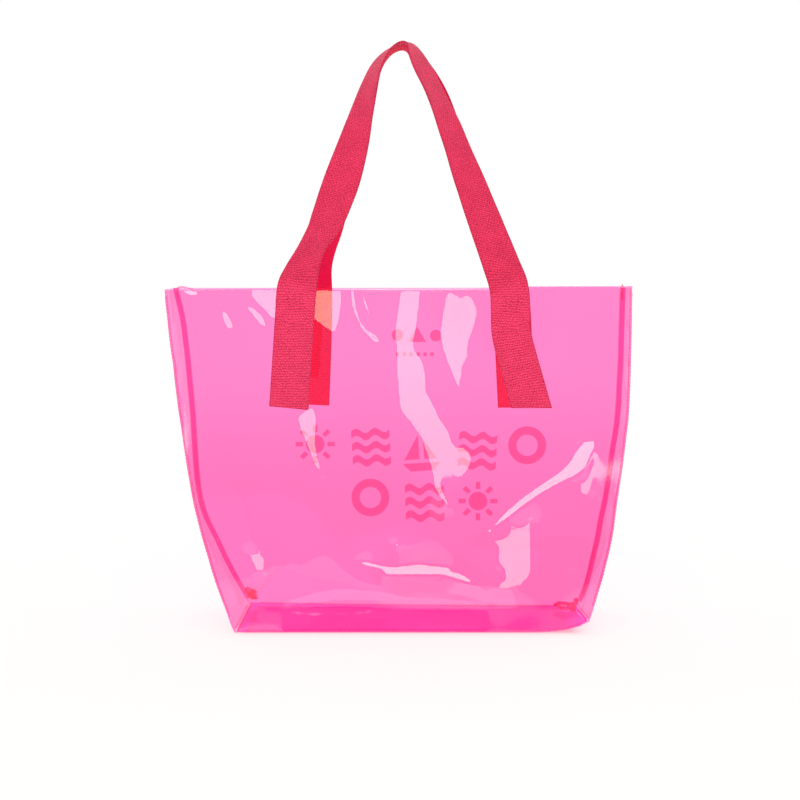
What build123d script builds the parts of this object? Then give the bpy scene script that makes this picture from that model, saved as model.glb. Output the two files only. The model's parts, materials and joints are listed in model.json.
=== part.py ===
from build123d import *
import math
import os

os.makedirs("parts", exist_ok=True)

# Soft see-through tote bag for the beach, in millimetres. The origin is on the ground under the
# middle of the base, +Z is up, +X is to the right when the bag is seen from behind, and +Y points
# towards the printed front panel. "Left" is -X and "right" is +X in every piece name.

# ---------------------------------------------------------------- bag body
rim_height = 330.0          # ground to the raw rim
base_half_width = 170.0
mouth_half_width = 225.0
base_depth = 150.0
mouth_depth = 92.0
edge_profile = [            # half width of the bag, height above the ground
    (base_half_width, 0.0),
    (187.0, 50.0),
    (204.0, 127.0),
    (217.5, 220.0),
    (mouth_half_width, rim_height),
]

film = 0.5                  # thickness of every PVC sheet
lap = 0.1                   # air between two lapped sheets
one_layer = film + lap      # depth of the second sheet below an outer face
two_layers = 2 * one_layer  # depth of the third sheet
allowance = 8.0             # width of every seam allowance
allowance_start = 10.0      # side allowances start here, clear of the base allowances

panel_start = 0.1           # bottom edge of the two panels, above the ground
turn_overlap = 0.2          # rear allowances reach this far into the rear panel's film
fold_inset = 0.1            # front folds sit this far inside the panel's edge and outer face
gusset_fold_inset = 0.15    # a gusset's front allowance starts this far in from the side edge
gusset_fold_top_gap = 0.2   # and stops this far below the rim
base_clearance = 0.06       # extra air between the base sheet and each wall
base_turn_start = 0.2       # bottom of the base's turned-up edges
base_long_edge_inset = 2.0  # the long turned-up edges stop this far short of the corners
base_short_edge_inset = 3.0  # and the short ones this far

reach = 500.0               # half width of the trimming rectangles, well past the bag

# ---------------------------------------------------------------- handles
webbing_width = 38.0
webbing_thickness = 1.8
webbing_gap = 0.05          # air between the webbing and the film behind it
handle_half_spacing = 103.25
front_handle_offset = 10.0  # the front handle sits this far right of the centre line
# Heights of the handles are measured up the slope of the panel.
webbing_end_height = 216.0  # cut webbing ends
bend_height = 300.0         # line the handle bends about
bend_gap = 1.0              # gap between a sewn end and its loop
apex_height = 570.0         # centre of the webbing at the top of the loop
apex_radius = 17.0
apex_tilt_rate = 0.15       # twist lost per degree away from the top of the apex arc
apex_drift = 6.0            # how far the loop leans in past the slope of its panel
drift_start_height = 335.0

# ---------------------------------------------------------------- threads
thread = 0.8                # width of a thread line
thread_height = 0.4
thread_gap = 0.02           # air under a thread
stitch_inset = 4.0          # thread centre line to the edge of the piece
seam_start = 12.0           # height where the side seams start
seam_top_gap = 3.0          # they stop this far below the rim
base_seam_inset = 8.0       # base seams stop this far short of the corners

# ---------------------------------------------------------------- print
ink = 0.1
ink_gap = 0.02
icon_half = 20.0            # half the size of a printed shape
print_offset = 14.0         # the print sits this far right of the centre line
upper_row_height = 167.0    # vertical heights above the ground
lower_row_height = 114.0
small_mark_height = 262.0

# ---------------------------------------------------------------- the two leaning panels
lean = math.atan((base_depth - mouth_depth) / 2 / rim_height)
stretch = 1 / math.cos(lean)            # length up the slope for each unit of height
panel_length = rim_height * stretch     # ground to rim, up the slope
sin_lean, cos_lean = math.sin(lean), math.cos(lean)

# Outer faces, with y up the slope. The front face's x runs towards the bag's left, so its +1
# side is the bag's left.
rear_face = Plane(
    origin=(0, -base_depth / 2, 0), x_dir=(1, 0, 0), z_dir=(0, -cos_lean, sin_lean)
)
front_face = Plane(
    origin=(0, base_depth / 2, 0), x_dir=(-1, 0, 0), z_dir=(0, cos_lean, sin_lean)
)


def panel_outline():
    """Outline of a panel, up the slope to the rim."""
    with BuildLine() as line:
        right = Spline(*[(x, z * stretch) for x, z in edge_profile])
        left = Spline(*[(-x, z * stretch) for x, z in edge_profile])
        Line(right @ 0, left @ 0)
        Line(right @ 1, left @ 1)
    make_face(line.edges())
    with Locations((0, (panel_start + panel_length) / 2)):
        Rectangle(2 * reach, panel_length - panel_start, mode=Mode.INTERSECT)


def edge_band(side, outer, inner, low, high, height_scale=1.0):
    """Strip along the side edge of the bag, between two distances in from it."""
    with BuildLine() as line:
        outer_edge = Spline(*[(side * (x - outer), z * height_scale) for x, z in edge_profile])
        inner_edge = Spline(*[(side * (x - inner), z * height_scale) for x, z in edge_profile])
        Line(outer_edge @ 0, inner_edge @ 0)
        Line(outer_edge @ 1, inner_edge @ 1)
    make_face(line.edges())
    with Locations((side * reach / 2, (low + high) / 2)):
        Rectangle(reach, high - low, mode=Mode.INTERSECT)


# ---------------------------------------------------------------- film pieces
def make_rear_panel():
    """Rear panel, with its side allowances turned in along the gussets."""
    with BuildPart() as piece:
        with BuildSketch(rear_face):
            panel_outline()
        extrude(amount=-film)
        for side in (-1, 1):
            with BuildPart(mode=Mode.PRIVATE) as turned:
                with BuildSketch(Plane.XZ):
                    edge_band(side, one_layer, one_layer + film, allowance_start, rim_height)
                extrude(amount=base_depth, both=True)
                split(bisect_by=rear_face.offset(-film + turn_overlap), keep=Keep.BOTTOM)
                split(bisect_by=rear_face.offset(-film - allowance), keep=Keep.TOP)
            add(turned.part)
    return piece


def make_front_panel():
    """Front panel, with its side edges folded back flat."""
    with BuildPart() as piece:
        with BuildSketch(front_face):
            panel_outline()
        extrude(amount=-film)
        for side in (-1, 1):
            # the folded flap, then the strip that joins it to the panel
            with BuildSketch(front_face.offset(-one_layer)):
                edge_band(side, fold_inset, allowance, allowance_start, panel_length, stretch)
            extrude(amount=-film)
            with BuildSketch(front_face.offset(-fold_inset)):
                edge_band(side, fold_inset, fold_inset + film,
                          allowance_start, panel_length, stretch)
            extrude(amount=-(one_layer + film - fold_inset))
    return piece


def make_gusset(side):
    """Side gusset, with a front allowance turned in behind the front panel."""
    with BuildPart() as piece:
        with BuildSketch(Plane.XZ):
            edge_band(side, 0.0, film, 0.0, rim_height)
        extrude(amount=base_depth, both=True)
        split(bisect_by=rear_face.offset(-one_layer), keep=Keep.BOTTOM)
        split(bisect_by=front_face.offset(-two_layers), keep=Keep.BOTTOM)
        # the front face counts x the other way round
        with BuildSketch(front_face.offset(-two_layers)):
            edge_band(-side, gusset_fold_inset, allowance,
                      allowance_start, panel_length - gusset_fold_top_gap, stretch)
        extrude(amount=-film)
    return piece


def make_base_panel():
    """Base, a shallow tray whose edges turn up inside the walls."""
    with BuildPart() as piece:
        with BuildSketch(Plane.XY):
            Rectangle(
                2 * (base_half_width - one_layer),
                base_depth - 2 * (one_layer + base_clearance),
            )
        extrude(amount=film)
        for face in (rear_face, front_face):
            with BuildSketch(face.offset(-one_layer)):
                with Locations((0, (base_turn_start + allowance) / 2)):
                    Rectangle(
                        2 * (base_half_width - base_long_edge_inset),
                        allowance - base_turn_start,
                    )
            extrude(amount=-film)
        for side in (-1, 1):
            with BuildPart(mode=Mode.PRIVATE) as turned:
                with BuildSketch(Plane.XZ):
                    edge_band(side, one_layer, one_layer + film, base_turn_start, allowance)
                extrude(amount=base_depth / 2 - base_short_edge_inset, both=True)
            add(turned.part)
    return piece


# ---------------------------------------------------------------- sewn webbing ends
def make_webbing_end(face, corners):
    with BuildPart() as piece:
        with BuildSketch(face.offset(webbing_gap)):
            Polygon(*corners, align=None)
        extrude(amount=webbing_thickness)
    return piece


def make_box_stitch(face, corners):
    """Closed line of thread that follows the outline of a webbing end."""
    with BuildPart() as piece:
        with BuildSketch(face.offset(webbing_gap + webbing_thickness + thread_gap)):
            Polygon(*corners, align=None)
            offset(amount=-(stitch_inset - thread / 2), kind=Kind.INTERSECTION, mode=Mode.REPLACE)
            inside = offset(amount=-thread, kind=Kind.INTERSECTION, mode=Mode.PRIVATE)
            add(inside, mode=Mode.SUBTRACT)
        extrude(amount=thread_height)
    return piece


def straight_end(centre):
    """Corners of a plain rectangular webbing end."""
    low_x = centre - webbing_width / 2
    high_x = centre + webbing_width / 2
    return [
        (low_x, bend_height),
        (low_x, webbing_end_height),
        (high_x, webbing_end_height),
        (high_x, bend_height),
    ]


near_edge = handle_half_spacing - webbing_width / 2     # webbing edge nearer the centre line
far_edge = handle_half_spacing + webbing_width / 2
splay_height = bend_height - 8      # the rear right end runs straight down to here

# Corners of the rear ends (x, height up the panel). Both splay outwards down the panel, the
# right one more than the left one.
rear_left_corners = [
    (-far_edge, bend_height),
    (-far_edge - 8.5, webbing_end_height + 2),
    (-near_edge - 5.5, webbing_end_height - 1.5),
    (-near_edge, bend_height),
]
rear_right_corners = [
    (near_edge, bend_height),
    (near_edge, splay_height),
    (near_edge + 21, webbing_end_height),
    (far_edge + 19, webbing_end_height),
    (far_edge, splay_height),
    (far_edge, bend_height),
]
front_left_corners = straight_end(handle_half_spacing - front_handle_offset)
front_right_corners = straight_end(-handle_half_spacing - front_handle_offset)

# ---------------------------------------------------------------- webbing loops
# One leg: half spacing, height up the panel, twist in degrees. The webbing lies flat against
# the panel at the bottom and turns edge-on towards the top.
leg = [
    (handle_half_spacing, bend_height + bend_gap, 0),
    (handle_half_spacing, 318.0, 0),
    (handle_half_spacing - 0.6, 332.0, 0),
    (96.0, 349.0, 4),
    (85.0, 374.5, 10),
    (74.0, 405.0, 20),
    (62.0, 438.0, 32),
    (50.5, 470.0, 45),
    (40.0, 501.0, 57),
    (28.5, 532.0, 69),
    (20.5, 549.5, 77),
]


def loop_stations():
    """Stations from the -x end over the apex to the +x end: x, height, twist."""
    stations = [(-x, height, twist) for x, height, twist in leg]
    for angle in range(-60, 61, 20):
        turn = math.radians(angle)
        stations.append((
            apex_radius * math.sin(turn),
            apex_height - apex_radius * (1 - math.cos(turn)),
            90 - abs(angle) * apex_tilt_rate,
        ))
    return stations + leg[::-1]


def drift(height):
    """How far the loop leans in past the slope of its panel at a height."""
    share = max(0.0, (height - drift_start_height) / (apex_height - drift_start_height))
    return apex_drift * share ** 1.5


def make_handle_loop(face, shift):
    stations = loop_stations()
    last = len(stations) - 1
    with BuildPart() as piece:
        for i, (x, height, twist) in enumerate(stations):
            # direction of the webbing in the face, square to the bend line at both ends
            if i in (0, last):
                run_x, run_y = 0.0, (1.0 if i == 0 else -1.0)
            else:
                x_before, y_before = stations[i - 1][:2]
                x_after, y_after = stations[i + 1][:2]
                length = math.hypot(x_after - x_before, y_after - y_before)
                run_x = (x_after - x_before) / length
                run_y = (y_after - y_before) / length
            along = face.x_dir * run_x + face.y_dir * run_y
            outward = face.x_dir * -run_y + face.y_dir * run_x
            turn = math.radians(twist)
            flat = face.z_dir * math.cos(turn) + outward * math.sin(turn)
            lift = webbing_gap + webbing_thickness / 2 - drift(height)
            centre = (
                face.origin + face.x_dir * (x + shift) + face.y_dir * height + face.z_dir * lift
            )
            with BuildSketch(Plane(origin=centre, x_dir=along.cross(flat), z_dir=along)):
                Rectangle(webbing_width, webbing_thickness)
        loft(ruled=True)
    return piece


# ---------------------------------------------------------------- seam threads
def make_front_seam(side):
    """Thread up one side of the front panel; side is in the front face's count of x."""
    with BuildPart() as piece:
        with BuildSketch(front_face.offset(thread_gap)):
            edge_band(side, stitch_inset - thread / 2, stitch_inset + thread / 2,
                      seam_start, panel_length - seam_top_gap, stretch)
        extrude(amount=thread_height)
    return piece


def make_rear_seam(side):
    """Thread up the outside of a gusset, along its rear edge."""
    with BuildPart() as piece:
        with BuildSketch(Plane.XZ):
            edge_band(side, -thread_gap - thread_height, -thread_gap,
                      seam_start, rim_height - seam_top_gap)
        extrude(amount=base_depth, both=True)
        split(bisect_by=rear_face.offset(-film - stitch_inset + thread / 2), keep=Keep.BOTTOM)
        split(bisect_by=rear_face.offset(-film - stitch_inset - thread / 2), keep=Keep.TOP)
    return piece


def make_base_long_seam(face):
    with BuildPart() as piece:
        with BuildSketch(face.offset(thread_gap)):
            with Locations((0, stitch_inset)):
                Rectangle(2 * (base_half_width - base_seam_inset), thread)
        extrude(amount=thread_height)
    return piece


def make_base_short_seam(side):
    with BuildPart() as piece:
        with BuildSketch(Plane.XZ):
            edge_band(side, -thread_gap - thread_height, -thread_gap,
                      stitch_inset - thread / 2, stitch_inset + thread / 2)
        extrude(amount=base_depth / 2 - base_seam_inset, both=True)
    return piece


# ---------------------------------------------------------------- printed shapes
# Each is drawn about (x, y) in the front face, where x runs to the right seen from the front.
def wave_icon(x, y):
    """Three stacked zigzag bars."""
    bar_pitch = 14.5
    bar_height = 6.8
    for row in (-1, 0, 1):
        middle = y + row * bar_pitch + 3.4
        valley, peak = middle - 4, middle + 3
        upper = [
            (x - icon_half, valley),
            (x - icon_half / 2, peak),
            (x, valley),
            (x + icon_half / 2, peak),
            (x + icon_half, valley),
        ]
        lower = [(px, py - bar_height) for px, py in reversed(upper)]
        Polygon(*(upper + lower), align=None)


def ring_icon(x, y):
    ring_width = 8.0
    with Locations((x, y)):
        Circle(icon_half)
        Circle(icon_half - ring_width, mode=Mode.SUBTRACT)


def sail_icon(x, y):
    """A small boat with two sails."""
    foot = y - 8            # bottom of both sails
    deck = y - 12
    hull_taper = 8
    Polygon((x - 2, y + icon_half), (x - 2, foot), (x - icon_half, foot), align=None)
    Polygon((x + 3, y + icon_half * 0.7), (x + 3, foot), (x + icon_half * 0.8, foot), align=None)
    Polygon(
        (x - icon_half, deck),
        (x + icon_half, deck),
        (x + icon_half - hull_taper, y - icon_half),
        (x - icon_half + hull_taper, y - icon_half),
        align=None,
    )


def sun_icon(x, y):
    """A disc with eight short rays."""
    with Locations((x, y)):
        Circle(9.5)
        with PolarLocations(16.5, 8):
            Rectangle(7, 4)


def small_mark(x, y):
    """A triangle between two dots, over a bar."""
    with Locations((x, y + 8)):
        RegularPolygon(radius=9, side_count=3, rotation=90)
    with Locations((x - 18, y + 5), (x + 18, y + 5)):
        Circle(5)
    with Locations((x, y - 10)):
        Rectangle(44, 3)


# Shape, x from the middle of the print.
upper_row = [
    (sun_icon, -108), (wave_icon, -56), (sail_icon, -1), (wave_icon, 53), (ring_icon, 108),
]
lower_row = [(ring_icon, -54), (wave_icon, 0), (sun_icon, 54)]


def make_print(height, shapes):
    """Row of printed shapes at a vertical height on the front panel."""
    with BuildPart() as piece:
        with BuildSketch(front_face.offset(ink_gap)):
            for draw, x in shapes:
                draw(x - print_offset, height * stretch)
        extrude(amount=ink)
    return piece


# ---------------------------------------------------------------- all pieces, one file each
pieces = {
    "rear_panel": make_rear_panel(),
    "front_panel": make_front_panel(),
    "base_panel": make_base_panel(),
    "rear_handle_loop": make_handle_loop(rear_face, 0.0),
    "front_handle_loop": make_handle_loop(front_face, -front_handle_offset),
    "base_rear_seam_thread": make_base_long_seam(rear_face),
    "base_front_seam_thread": make_base_long_seam(front_face),
    "printed_upper_row": make_print(upper_row_height, upper_row),
    "printed_lower_row": make_print(lower_row_height, lower_row),
    "printed_small_mark": make_print(small_mark_height, [(small_mark, 0)]),
}
for name, side in (("left", -1), ("right", 1)):
    pieces[f"{name}_gusset"] = make_gusset(side)
    pieces[f"rear_{name}_seam_thread"] = make_rear_seam(side)
    pieces[f"front_{name}_seam_thread"] = make_front_seam(-side)
    pieces[f"base_{name}_seam_thread"] = make_base_short_seam(side)
for name, face, corners in (
    ("rear_handle_left", rear_face, rear_left_corners),
    ("rear_handle_right", rear_face, rear_right_corners),
    ("front_handle_left", front_face, front_left_corners),
    ("front_handle_right", front_face, front_right_corners),
):
    pieces[f"{name}_end"] = make_webbing_end(face, corners)
    pieces[f"{name}_stitching"] = make_box_stitch(face, corners)

for name, piece in pieces.items():
    piece.part.label = name
    export_step(piece.part, f"parts/{name}.step")
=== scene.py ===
"""Transparent pink carrier bag with two crimson webbing handles.

The bag stands on z = 0 around the origin. The plain, creased rear panel faces -Y, towards the
camera, and the printed front panel faces +Y; left is -X. Shapes are worked out in millimetres
and become metres in the meshes. Lamps, floor and shader distances are in metres.
"""
import json
import math
from collections import namedtuple

import bmesh
import bpy
import numpy as np
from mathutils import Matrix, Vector


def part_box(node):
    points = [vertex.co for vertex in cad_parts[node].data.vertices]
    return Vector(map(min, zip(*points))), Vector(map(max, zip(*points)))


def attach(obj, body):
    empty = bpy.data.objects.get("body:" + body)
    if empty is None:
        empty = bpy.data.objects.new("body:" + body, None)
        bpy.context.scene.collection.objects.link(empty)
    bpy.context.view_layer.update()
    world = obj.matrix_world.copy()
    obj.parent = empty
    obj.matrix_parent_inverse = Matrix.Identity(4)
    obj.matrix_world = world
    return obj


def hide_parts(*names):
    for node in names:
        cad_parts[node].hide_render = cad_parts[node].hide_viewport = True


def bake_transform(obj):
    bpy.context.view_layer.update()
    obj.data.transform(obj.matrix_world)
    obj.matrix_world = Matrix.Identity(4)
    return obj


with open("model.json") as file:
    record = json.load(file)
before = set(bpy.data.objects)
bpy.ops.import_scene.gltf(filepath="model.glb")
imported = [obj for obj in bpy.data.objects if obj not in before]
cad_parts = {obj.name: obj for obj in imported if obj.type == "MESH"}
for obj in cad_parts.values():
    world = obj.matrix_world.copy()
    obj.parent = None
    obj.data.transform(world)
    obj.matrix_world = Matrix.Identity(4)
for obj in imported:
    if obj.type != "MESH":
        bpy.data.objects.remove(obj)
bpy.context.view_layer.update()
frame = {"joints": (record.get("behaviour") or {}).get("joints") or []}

# ---------------------------------------------------------------- driving dimensions
rear_low, rear_high = (np.array(corner) * 1000 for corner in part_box("rear_panel"))
hinge = [j for j in frame["joints"] if j["name"] == "rear_handle_swing"][0]["pos_m"]
HINGE_INSET = 2.2                           # from the rear panel's face in to the hinge
RIM_Z = float(rear_high[2])
FOOT_DEPTH = float(-rear_low[1])            # half depth at the ground
RIM_DEPTH = FOOT_DEPTH - ((FOOT_DEPTH + hinge[1] * 1000 - HINGE_INSET) * RIM_Z
                          / (hinge[2] * 1000))
LEAN = (FOOT_DEPTH - RIM_DEPTH) / RIM_Z     # inward slope of both panels
FILM_THICKNESS = 0.5
WEB_THICKNESS = 1.8

CAMERA = np.array([-5.5, -2012.5, 370.0])
CAMERA_PITCH = 4.28                         # degrees below level
CAMERA_LENS = 91.44

# Lamps on the camera's side that the creases mirror: metres, in the plane y = LAMP_Y (mm)
Lamp = namedtuple("Lamp", "x z width height")
LAMP_Y = -2200.0
SIDE_LAMP = Lamp(x=0.72, z=0.62, width=0.36, height=1.16)    # one at x, one at -x
TOP_LAMP = Lamp(x=0.0, z=1.20, width=2.0, height=0.44)
# Where the mirror ray should go: x for the side lamps, z for the others
LAMP_AIM = {"left": -1000 * SIDE_LAMP.x, "right": 1000 * SIDE_LAMP.x, "top": 1000 * TOP_LAMP.z,
            "floor": -120.0, "near_floor": -330.0}
FLOOR_LAMPS = ("floor", "near_floor")
AIMED_BY_HEIGHT = ("top",) + FLOOR_LAMPS


# ---------------------------------------------------------------- curves and vectors
def smoothstep(x, start, end):
    """0 to 1, smooth, as x goes from start to end."""
    t = np.clip((np.asarray(x, float) - start) / (end - start), 0, 1)
    return t * t * (3 - 2 * t)


def gaussian(radius, sigma):
    weights = np.exp(-0.5 * (np.arange(-radius, radius + 1) / sigma) ** 2)
    return weights / weights.sum()


def blurred(values, radius, sigma, mode="edge", **padding):
    padded = np.pad(values, radius, mode=mode, **padding)
    return np.convolve(padded, gaussian(radius, sigma), mode="valid")


def arc_lengths(points):
    """Length along a polyline up to each of its points."""
    return np.concatenate([[0], np.cumsum(np.linalg.norm(np.diff(points, axis=0), axis=1))])


def points_at(points, lengths, wanted):
    return np.stack([np.interp(wanted, lengths, column) for column in points.T], -1)


def smooth_curve(points, lengths, count, radius, sigma, **padding):
    """Even resampling of a polyline, then blurred."""
    fine = points_at(points, lengths, np.linspace(0, lengths[-1], count))
    return np.stack([blurred(column, radius, sigma, **padding) for column in fine.T], -1)


def unit(vector):
    return vector / np.linalg.norm(vector, axis=-1, keepdims=True)


# ---------------------------------------------------------------- outline of the standing bag
# Side edges of the two panels: (height, x)
REAR_LEFT = [
    (0, -165.2), (4.5, -167.8), (12.1, -170.4), (19.8, -172.8), (27.5, -175.8), (42.8, -181.5),
    (58.2, -186.6), (73.6, -190.8), (88.9, -195.6), (104.3, -199.5), (119.7, -203.4),
    (135.1, -206.3), (150.4, -209.2), (165.8, -211.8), (181.2, -214.1), (196.6, -216.3),
    (212, -218.9), (227.4, -220.9), (242.8, -222.8), (258.2, -224.3), (273.6, -226.8),
    (289, -228.7), (304.4, -230.2), (319.8, -232.0), (331, -232.8)]
REAR_RIGHT = [
    (0, 176.5), (12.1, 177.0), (19.8, 180.6), (27.5, 182.6), (35.2, 184.5), (42.8, 187.0),
    (50.5, 189.4), (65.9, 193.3), (81.3, 197.1), (96.6, 200.1), (112, 202.0), (127.4, 204.0),
    (142.7, 206.4), (158.1, 208.8), (173.5, 210.8), (188.9, 212.7), (204.3, 214.7),
    (219.7, 215.7), (242.8, 216.7), (281.3, 217.7), (319.8, 218.2), (331, 218.7)]
FRONT_LEFT = [
    (0, -161.2), (5.7, -163.6), (14.2, -168.8), (27, -175.9), (39.7, -182.5), (52.4, -189.4),
    (65.1, -196.0), (77.7, -202.1), (90.3, -207.0), (102.9, -210.9), (115.5, -213.8),
    (128, -215.7), (140.6, -216.7), (153.1, -217.6), (165.5, -218.3), (178, -218.9),
    (190.4, -219.5), (202.8, -220.1), (215.2, -221.2), (227.5, -222.1), (239.9, -223.2),
    (252.2, -224.1), (264.5, -225.2), (276.7, -226.7), (289, -227.8), (301.2, -229.6),
    (313.4, -232.4), (325.5, -235.2), (331, -236.0)]
FRONT_RIGHT = [
    (0, 178.5), (5.7, 182.5), (14.2, 187.6), (27, 192.9), (39.7, 197.3), (52.4, 201.3),
    (65.1, 204.6), (77.7, 207.1), (90.3, 208.9), (102.9, 211.0), (115.5, 212.6), (128, 214.2),
    (140.6, 215.8), (165.5, 218.2), (178, 220.0), (190.4, 221.6), (202.8, 222.4),
    (215.2, 223.2), (227.5, 223.3), (252.2, 223.5), (289, 222.9), (313.4, 222.4), (331, 222.6)]
# Shifts in x added to the front edges: heights, shifts
FRONT_LEFT_SHIFT = ([20, 32, 52, 72, 93, 154, 200, 317],
                    [-1.0, -1.6, -0.6, 1.6, -0.8, -0.6, -0.3, 0.0])
FRONT_RIGHT_SHIFT = ([11, 32, 52, 93, 113, 154, 174, 235, 256, 297, 317],
                     [-1.5, -3.0, -5.0, -5.0, -3.4, -3.0, -2.2, -2.0, -1.0, 0.0, 0.8])


def shifted(table, shift):
    return [(z, x + float(np.interp(z, *shift))) for z, x in table]


def smooth_edge(table):
    """Function from height to x through a blurred table, carried on straight past its ends."""
    margin = 16
    heights, edge = np.array(table, float).T
    z = np.arange(-40, RIM_Z + 41, 1.0)
    x = np.interp(z, heights, edge)
    low_slope = (edge[1] - edge[0]) / (heights[1] - heights[0])
    high_slope = (edge[-1] - edge[-2]) / (heights[-1] - heights[-2])
    x = np.where(z < heights[0], edge[0] + low_slope * (z - heights[0]), x)
    x = np.where(z > heights[-1], edge[-1] + high_slope * (z - heights[-1]), x)
    x = blurred(x, margin, 4.0)
    return lambda height: np.interp(height, z[margin:-margin], x[margin:-margin])


rear_left, rear_right = smooth_edge(REAR_LEFT), smooth_edge(REAR_RIGHT)
front_left = smooth_edge(shifted(FRONT_LEFT, FRONT_LEFT_SHIFT))
front_right = smooth_edge(shifted(FRONT_RIGHT, FRONT_RIGHT_SHIFT))


def corner_lift(x):
    """How far the rear bottom edge curls up at its right end."""
    return np.interp(x, [118, 132, 145, 152, 159.4, 168, 176.5],
                     [0, 0.3, 1.2, 2.1, 3.6, 6.2, 10.6])


def rim_top(x):
    return (RIM_Z + 3.2 * smoothstep(x, 84, 124) - 0.7 * np.exp(-((x + 10) / 60.0) ** 2)
            + 0.5 * np.exp(-((x + 165) / 40.0) ** 2))


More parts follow.
